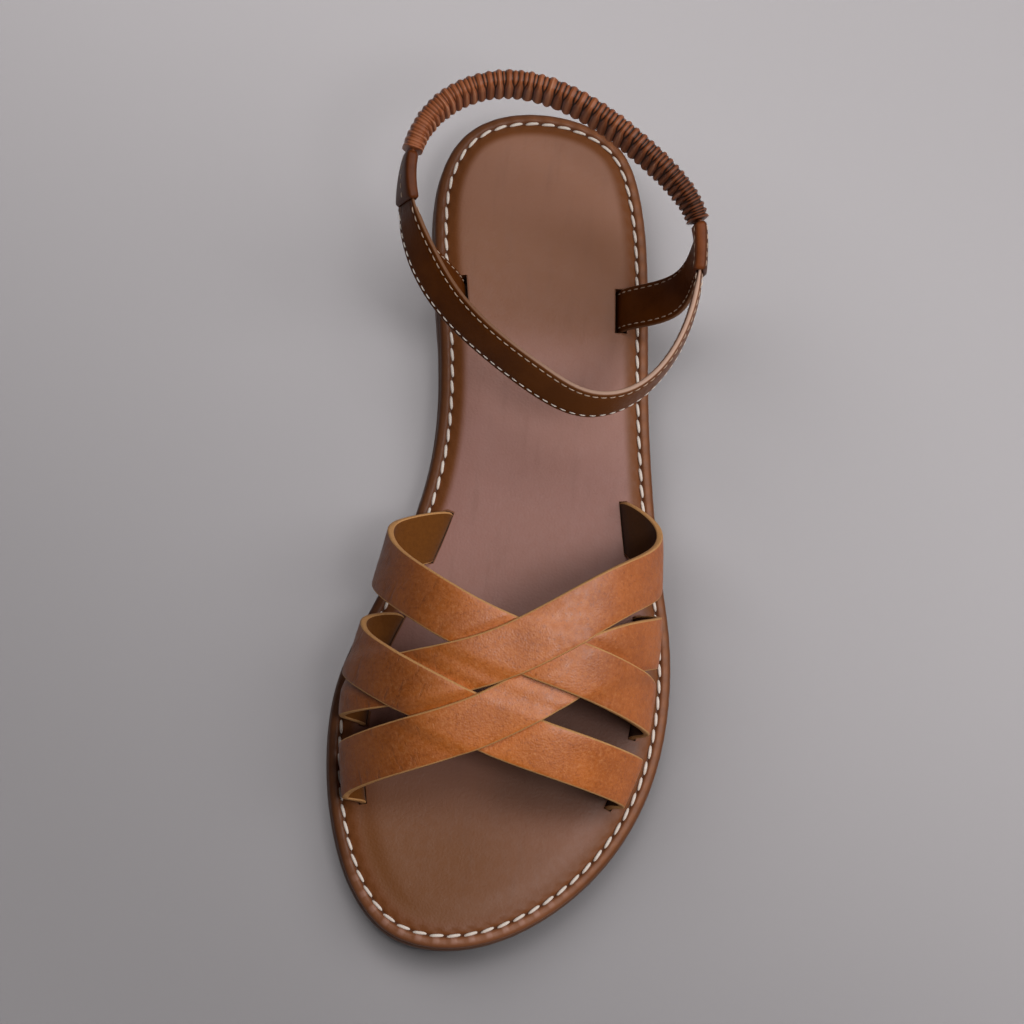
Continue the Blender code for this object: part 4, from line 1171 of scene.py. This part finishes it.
# %% [markdown]
# ## Gathered back
# A soft leather tube is sewn far too long for the elastic inside it, so it gathers in tight
# ridges with dark valleys. Round the tube the section is an oval; along it the radius follows
# |sin|, which has round tops and sharp valleys. Towards the upper edge each valley forks in a V.
# Each ridge has its own height and slant; the draws are seeded, so every run is the same.

# %% Gathered back surface
BACK_HEIGHT = 12.8
BACK_THICKNESS = 5.4
BACK_SWELL = 0.8
GATHERS = 44
GATHER_ROWS = 16
GATHER_DEPTH = 0.85
GATHER_LEVEL = 0.62
SWELL_UP, SWELL_OUT = 1.3, 2.0
BACK_ROUND = 0.62
RIDGES = GATHERS + 4
FORK_FROM, RIDGE_POWER = 0.25, 0.75
TIGHTNESS = table("share tight", [(0.0, 0.60), (0.35, 0.95), (1.0, 1.10)])
END_CROWDING = 0.07
HIDDEN_ROWS = 8
AROUND = 40
back = RING_T[MEDIAL_LOOP] + CLEARANCE, RING_LENGTH - CLEARANCE
back_share = np.linspace(0.0, 1.0, GATHERS * GATHER_ROWS + 1)
spread = back_share - END_CROWDING * np.sin(2 * math.pi * back_share) / (2 * math.pi) * 4
hidden = np.linspace(0.0, LOOP_MOUTH - 0.3, HIDDEN_ROWS)
back_s = np.concatenate([back[0] + hidden,
                         back[0] + LOOP_MOUTH + (back[1] - back[0] - 2 * LOOP_MOUTH) * spread,
                         back[1] - hidden[::-1]])
count_at = np.concatenate([np.zeros(HIDDEN_ROWS), back_share * GATHERS,
                           np.full(HIDDEN_ROWS, float(GATHERS))])
draw = np.random.default_rng(11)
ridge_height = draw.uniform(0.85, 1.10, RIDGES)
ridge_slant = draw.uniform(-0.12, 0.12, RIDGES)
ridge_fork = draw.uniform(0.14, 0.30, RIDGES)
angle = np.arange(AROUND) * 2 * math.pi / AROUND


def gathers(count, turn):
    """Ridges |sin| along the tube, slanted; each valley parts in two by +-d, d growing with height."""
    height = np.sin(turn)[None, :]
    slant, fork = (np.interp(count, np.arange(RIDGES), v)[:, None] for v in (ridge_slant, ridge_fork))
    x = count[:, None] + slant * height
    d = fork * soft_step((height - FORK_FROM) / (1 - FORK_FROM))
    k = np.clip(np.floor(x).astype(int), 0, RIDGES - 1)
    ridge = np.minimum(np.abs(np.sin(math.pi * (x - d))), np.abs(np.sin(math.pi * (x + d))))
    return ridge ** RIDGE_POWER * ridge_height[k]


tightness = np.interp(count_at / GATHERS, TIGHTNESS["share"], TIGHTNESS["tight"])[:, None]
fold = 1 - (1 - gathers(count_at, angle)) * tightness
from_mouth = np.minimum(back_s - back[0] - LOOP_MOUTH, back[1] - LOOP_MOUTH - back_s)
ease = soft_step(from_mouth / BACK_SWELL)[:, None]
tube_h = ring_size(back_s, *back, CORE_HEIGHT, BACK_HEIGHT, LOOP_MOUTH, BACK_SWELL)[:, None]
tube_t = ring_size(back_s, *back, CORE_THICKNESS, BACK_THICKNESS, LOOP_MOUTH, BACK_SWELL)[:, None]
swell = (fold - GATHER_LEVEL) * GATHER_DEPTH * ease
oval_u, oval_o = oval(AROUND, BACK_ROUND)
back_points = on_ring(back_s, oval_u * (tube_h + SWELL_UP * swell), oval_o * (tube_t + SWELL_OUT * swell))

GATHER_TONES = (
    (1.00, (0.330, 0.098, 0.034), ("cloud", 0.3, 0.7)),
    # Painted shade: the right half of the back darker.
    (0.62, (0.070, 0.015, 0.003), ("x", 0.004, 0.040)),
    # Painted highlight on the ridge tops and painted shade in the valleys, over the real gathers.
    (1.00, (0.490, 0.205, 0.105), ("fold", 0.74, 1.03)),
    (1.00, (0.020, 0.006, 0.002), ("fold", 0.55, 0.15)),
)
gather_leather, tree = finish("gathered leather", 0.46, Specular_IOR_Level=0.35)
hide = layered(tree, (0.235, 0.062, 0.018), GATHER_TONES, x=axis(tree, "X"), fold=marked(tree, "fold"),
               cloud=cloudy(tree, 170.0, 4.0, 0.6))
paint(tree, Base_Color=hide)
relief(tree, (cloudy(tree, 900.0, 3.0), 0.0002, 0.3), (pebbles(tree, 2100.0), 0.0001, 0.3))
gathered = piece_from("gathered_back", back_points, tube(len(back_s), AROUND), gather_leather,
                      "gathered_leather", "elastic_back")
mark(gathered, "fold", np.where(ease > 0.3, fold, 0.65))

# %% [markdown]
# ## Thread
# A stitch is a short piece of thread that comes out of one hole and goes down the next. Each is
# a small bead: a tube of eight sides whose radius swells and closes along its length, with its
# middle arched over the leather. One array holds all the stitches of a seam at once.

# %% Stitches
BEAD_ROWS, BEAD_SIDES = 7, 8
BEAD_ARCH, BEAD_SINK, BEAD_FLATNESS = 0.9, 0.35, 0.8
thread, tree = finish("cream thread", 0.75, Sheen_Weight=0.15)
twist = cloudy(tree, 1600.0, 3.0, 0.6)
paint(tree, Base_Color=blend(tree, twist, (0.60, 0.49, 0.41), (0.92, 0.83, 0.75)))
relief(tree, (twist, 0.0002, 0.4))

fine_thread, tree = finish("fine thread", 0.75)
paint(tree, Base_Color=blend(tree, cloudy(tree, 1600.0, 3.0), (0.30, 0.185, 0.120), (0.60, 0.44, 0.33)))


def stitched(name, middle, run, up, length, radius, slant, finish_used):
    """Beads at each middle: x along the run, radius r(1 - x^4)^0.5, arched by r(1 - x^2)."""
    x = np.sin(np.linspace(-1.0, 1.0, BEAD_ROWS) * math.pi / 2)
    a = np.arange(BEAD_SIDES) * 2 * math.pi / BEAD_SIDES
    r = radius * np.sqrt(np.clip(1 - x ** 4, 0.02, 1.0))
    arch = radius * BEAD_ARCH * (1 - x ** 2) - radius * BEAD_SINK
    side = unit(np.cross(up, run))
    along_x = (x * length / 2)[:, None] * np.ones(BEAD_SIDES)
    sideways = r[:, None] * np.cos(a) + slant * along_x
    lift = r[:, None] * np.sin(a) * BEAD_FLATNESS + arch[:, None]
    grid = (middle[:, None, None] + along_x[None, ..., None] * run[:, None, None]
            + sideways[None, ..., None] * side[:, None, None] + lift[None, ..., None] * up[:, None, None])
    faces = [f for k in range(len(middle)) for f in tube(BEAD_ROWS, BEAD_SIDES, k * BEAD_ROWS * BEAD_SIDES)]
    return piece_from(name, grid, faces, finish_used, "cream_thread")


def rim_height(y):
    """Height of the groove's floor at each Y."""
    return footbed_base(y) + np.interp(STITCH_INSET, RIM["inset"][3:], RIM["rise"][3:])


def read_at(spots, walk, rows):
    """Rows read off at distances along a walk, column by column."""
    return np.column_stack([np.interp(spots, walk, column) for column in rows.T])


RIM_STITCH = (4.0, 0.48, 0.10)
RIM_STITCH_LIFT = 0.12
centres = np.arange(STITCH_COUNT) * stitch_walk[-1] / STITCH_COUNT
xy, run_xy = (read_at(centres, stitch_walk, np.vstack([v, v[:1]])) for v in (stitch_line, EDGE_RUN))
climb = (rim_height(xy[:, 1] + 1.0) - rim_height(xy[:, 1] - 1.0)) / 2 * run_xy[:, 1]
run = unit(np.column_stack([run_xy, climb]))
upward = unit(np.array([0.0, 0.0, 1.0]) - run * run[:, 2:3])
middle = np.column_stack([xy, rim_height(xy[:, 1]) + RIM_STITCH_LIFT])
stitched("rim_stitches", middle, run, upward, *RIM_STITCH, thread)

# %% Stitches of the dark straps
FINE_PITCH = 2.5
ANKLE_STITCH, TAB_STITCH = (1.9, 0.20, 0.0), (1.7, 0.17, 0.0)
SEAM_LEVEL = 0.90
ANKLE_MARGIN = LOOP_LENGTH / 2 + 1.5
TAB_MARGINS = 5.0, 4.0
LOOP_SEAMS = ((LATERAL_LOOP, 5.5, 1), (LATERAL_LOOP, 4.4, -1), (MEDIAL_LOOP, 1.2, 1))
SIDES = (1, -1)


def seam_rows(line, run, up, out, width, thickness, edges=SIDES):
    """Middles, runs and ups of the stitches at the given edges of a strap, on both of its faces."""
    up_mm, out_mm = width / 2 - SEAM_INSET, thickness / 2 * SEAM_LEVEL - SEAM_DEPTH
    return [(line + up * (a * up_mm) + out * (b * out_mm), run, out * b) for a in edges for b in SIDES]


spots = np.arange(front[0] + ANKLE_MARGIN, front[1] - ANKLE_MARGIN, FINE_PITCH)
for word, edge_used, used in (("upper", 1, fine_thread), ("lower", -1, thread)):
    rows = seam_rows(*ring_frame(spots), ANKLE_WIDTH, ANKLE_THICKNESS, (edge_used,))
    stitched("ankle_stitches_" + word, *(np.concatenate(v) for v in zip(*rows)), *ANKLE_STITCH, used)

groups = []
for line, wide, face in tab_lines.values():
    walk = chords(line)
    spots = np.arange(walk[0] + TAB_MARGINS[0], walk[-1] - TAB_MARGINS[1], FINE_PITCH)
    at, forward, up, out = (read_at(spots, walk, v) for v in (line, np.gradient(line, axis=0), wide, face))
    groups += seam_rows(at, unit(forward), up, out, TAB_WIDTH, TAB_THICKNESS)
loop_h, loop_t = (core / 2 + CLEARANCE + LOOP_WALL for core in (CORE_HEIGHT, CORE_THICKNESS))
for loop, rise, side in LOOP_SEAMS:
    p, run, up, out = ring_frame(RING_T[loop] + np.arange(-5.0, 5.1, FINE_PITCH))
    skin = loop_t * (1 - (rise / loop_h) ** 4) ** 0.25
    groups.append((p + up * rise + out * skin * side, run, unit(out * side + up * (rise / 6.0) ** 3)))
stitched("tab_stitches", *(np.concatenate(v) for v in zip(*groups)), *TAB_STITCH, fine_thread)
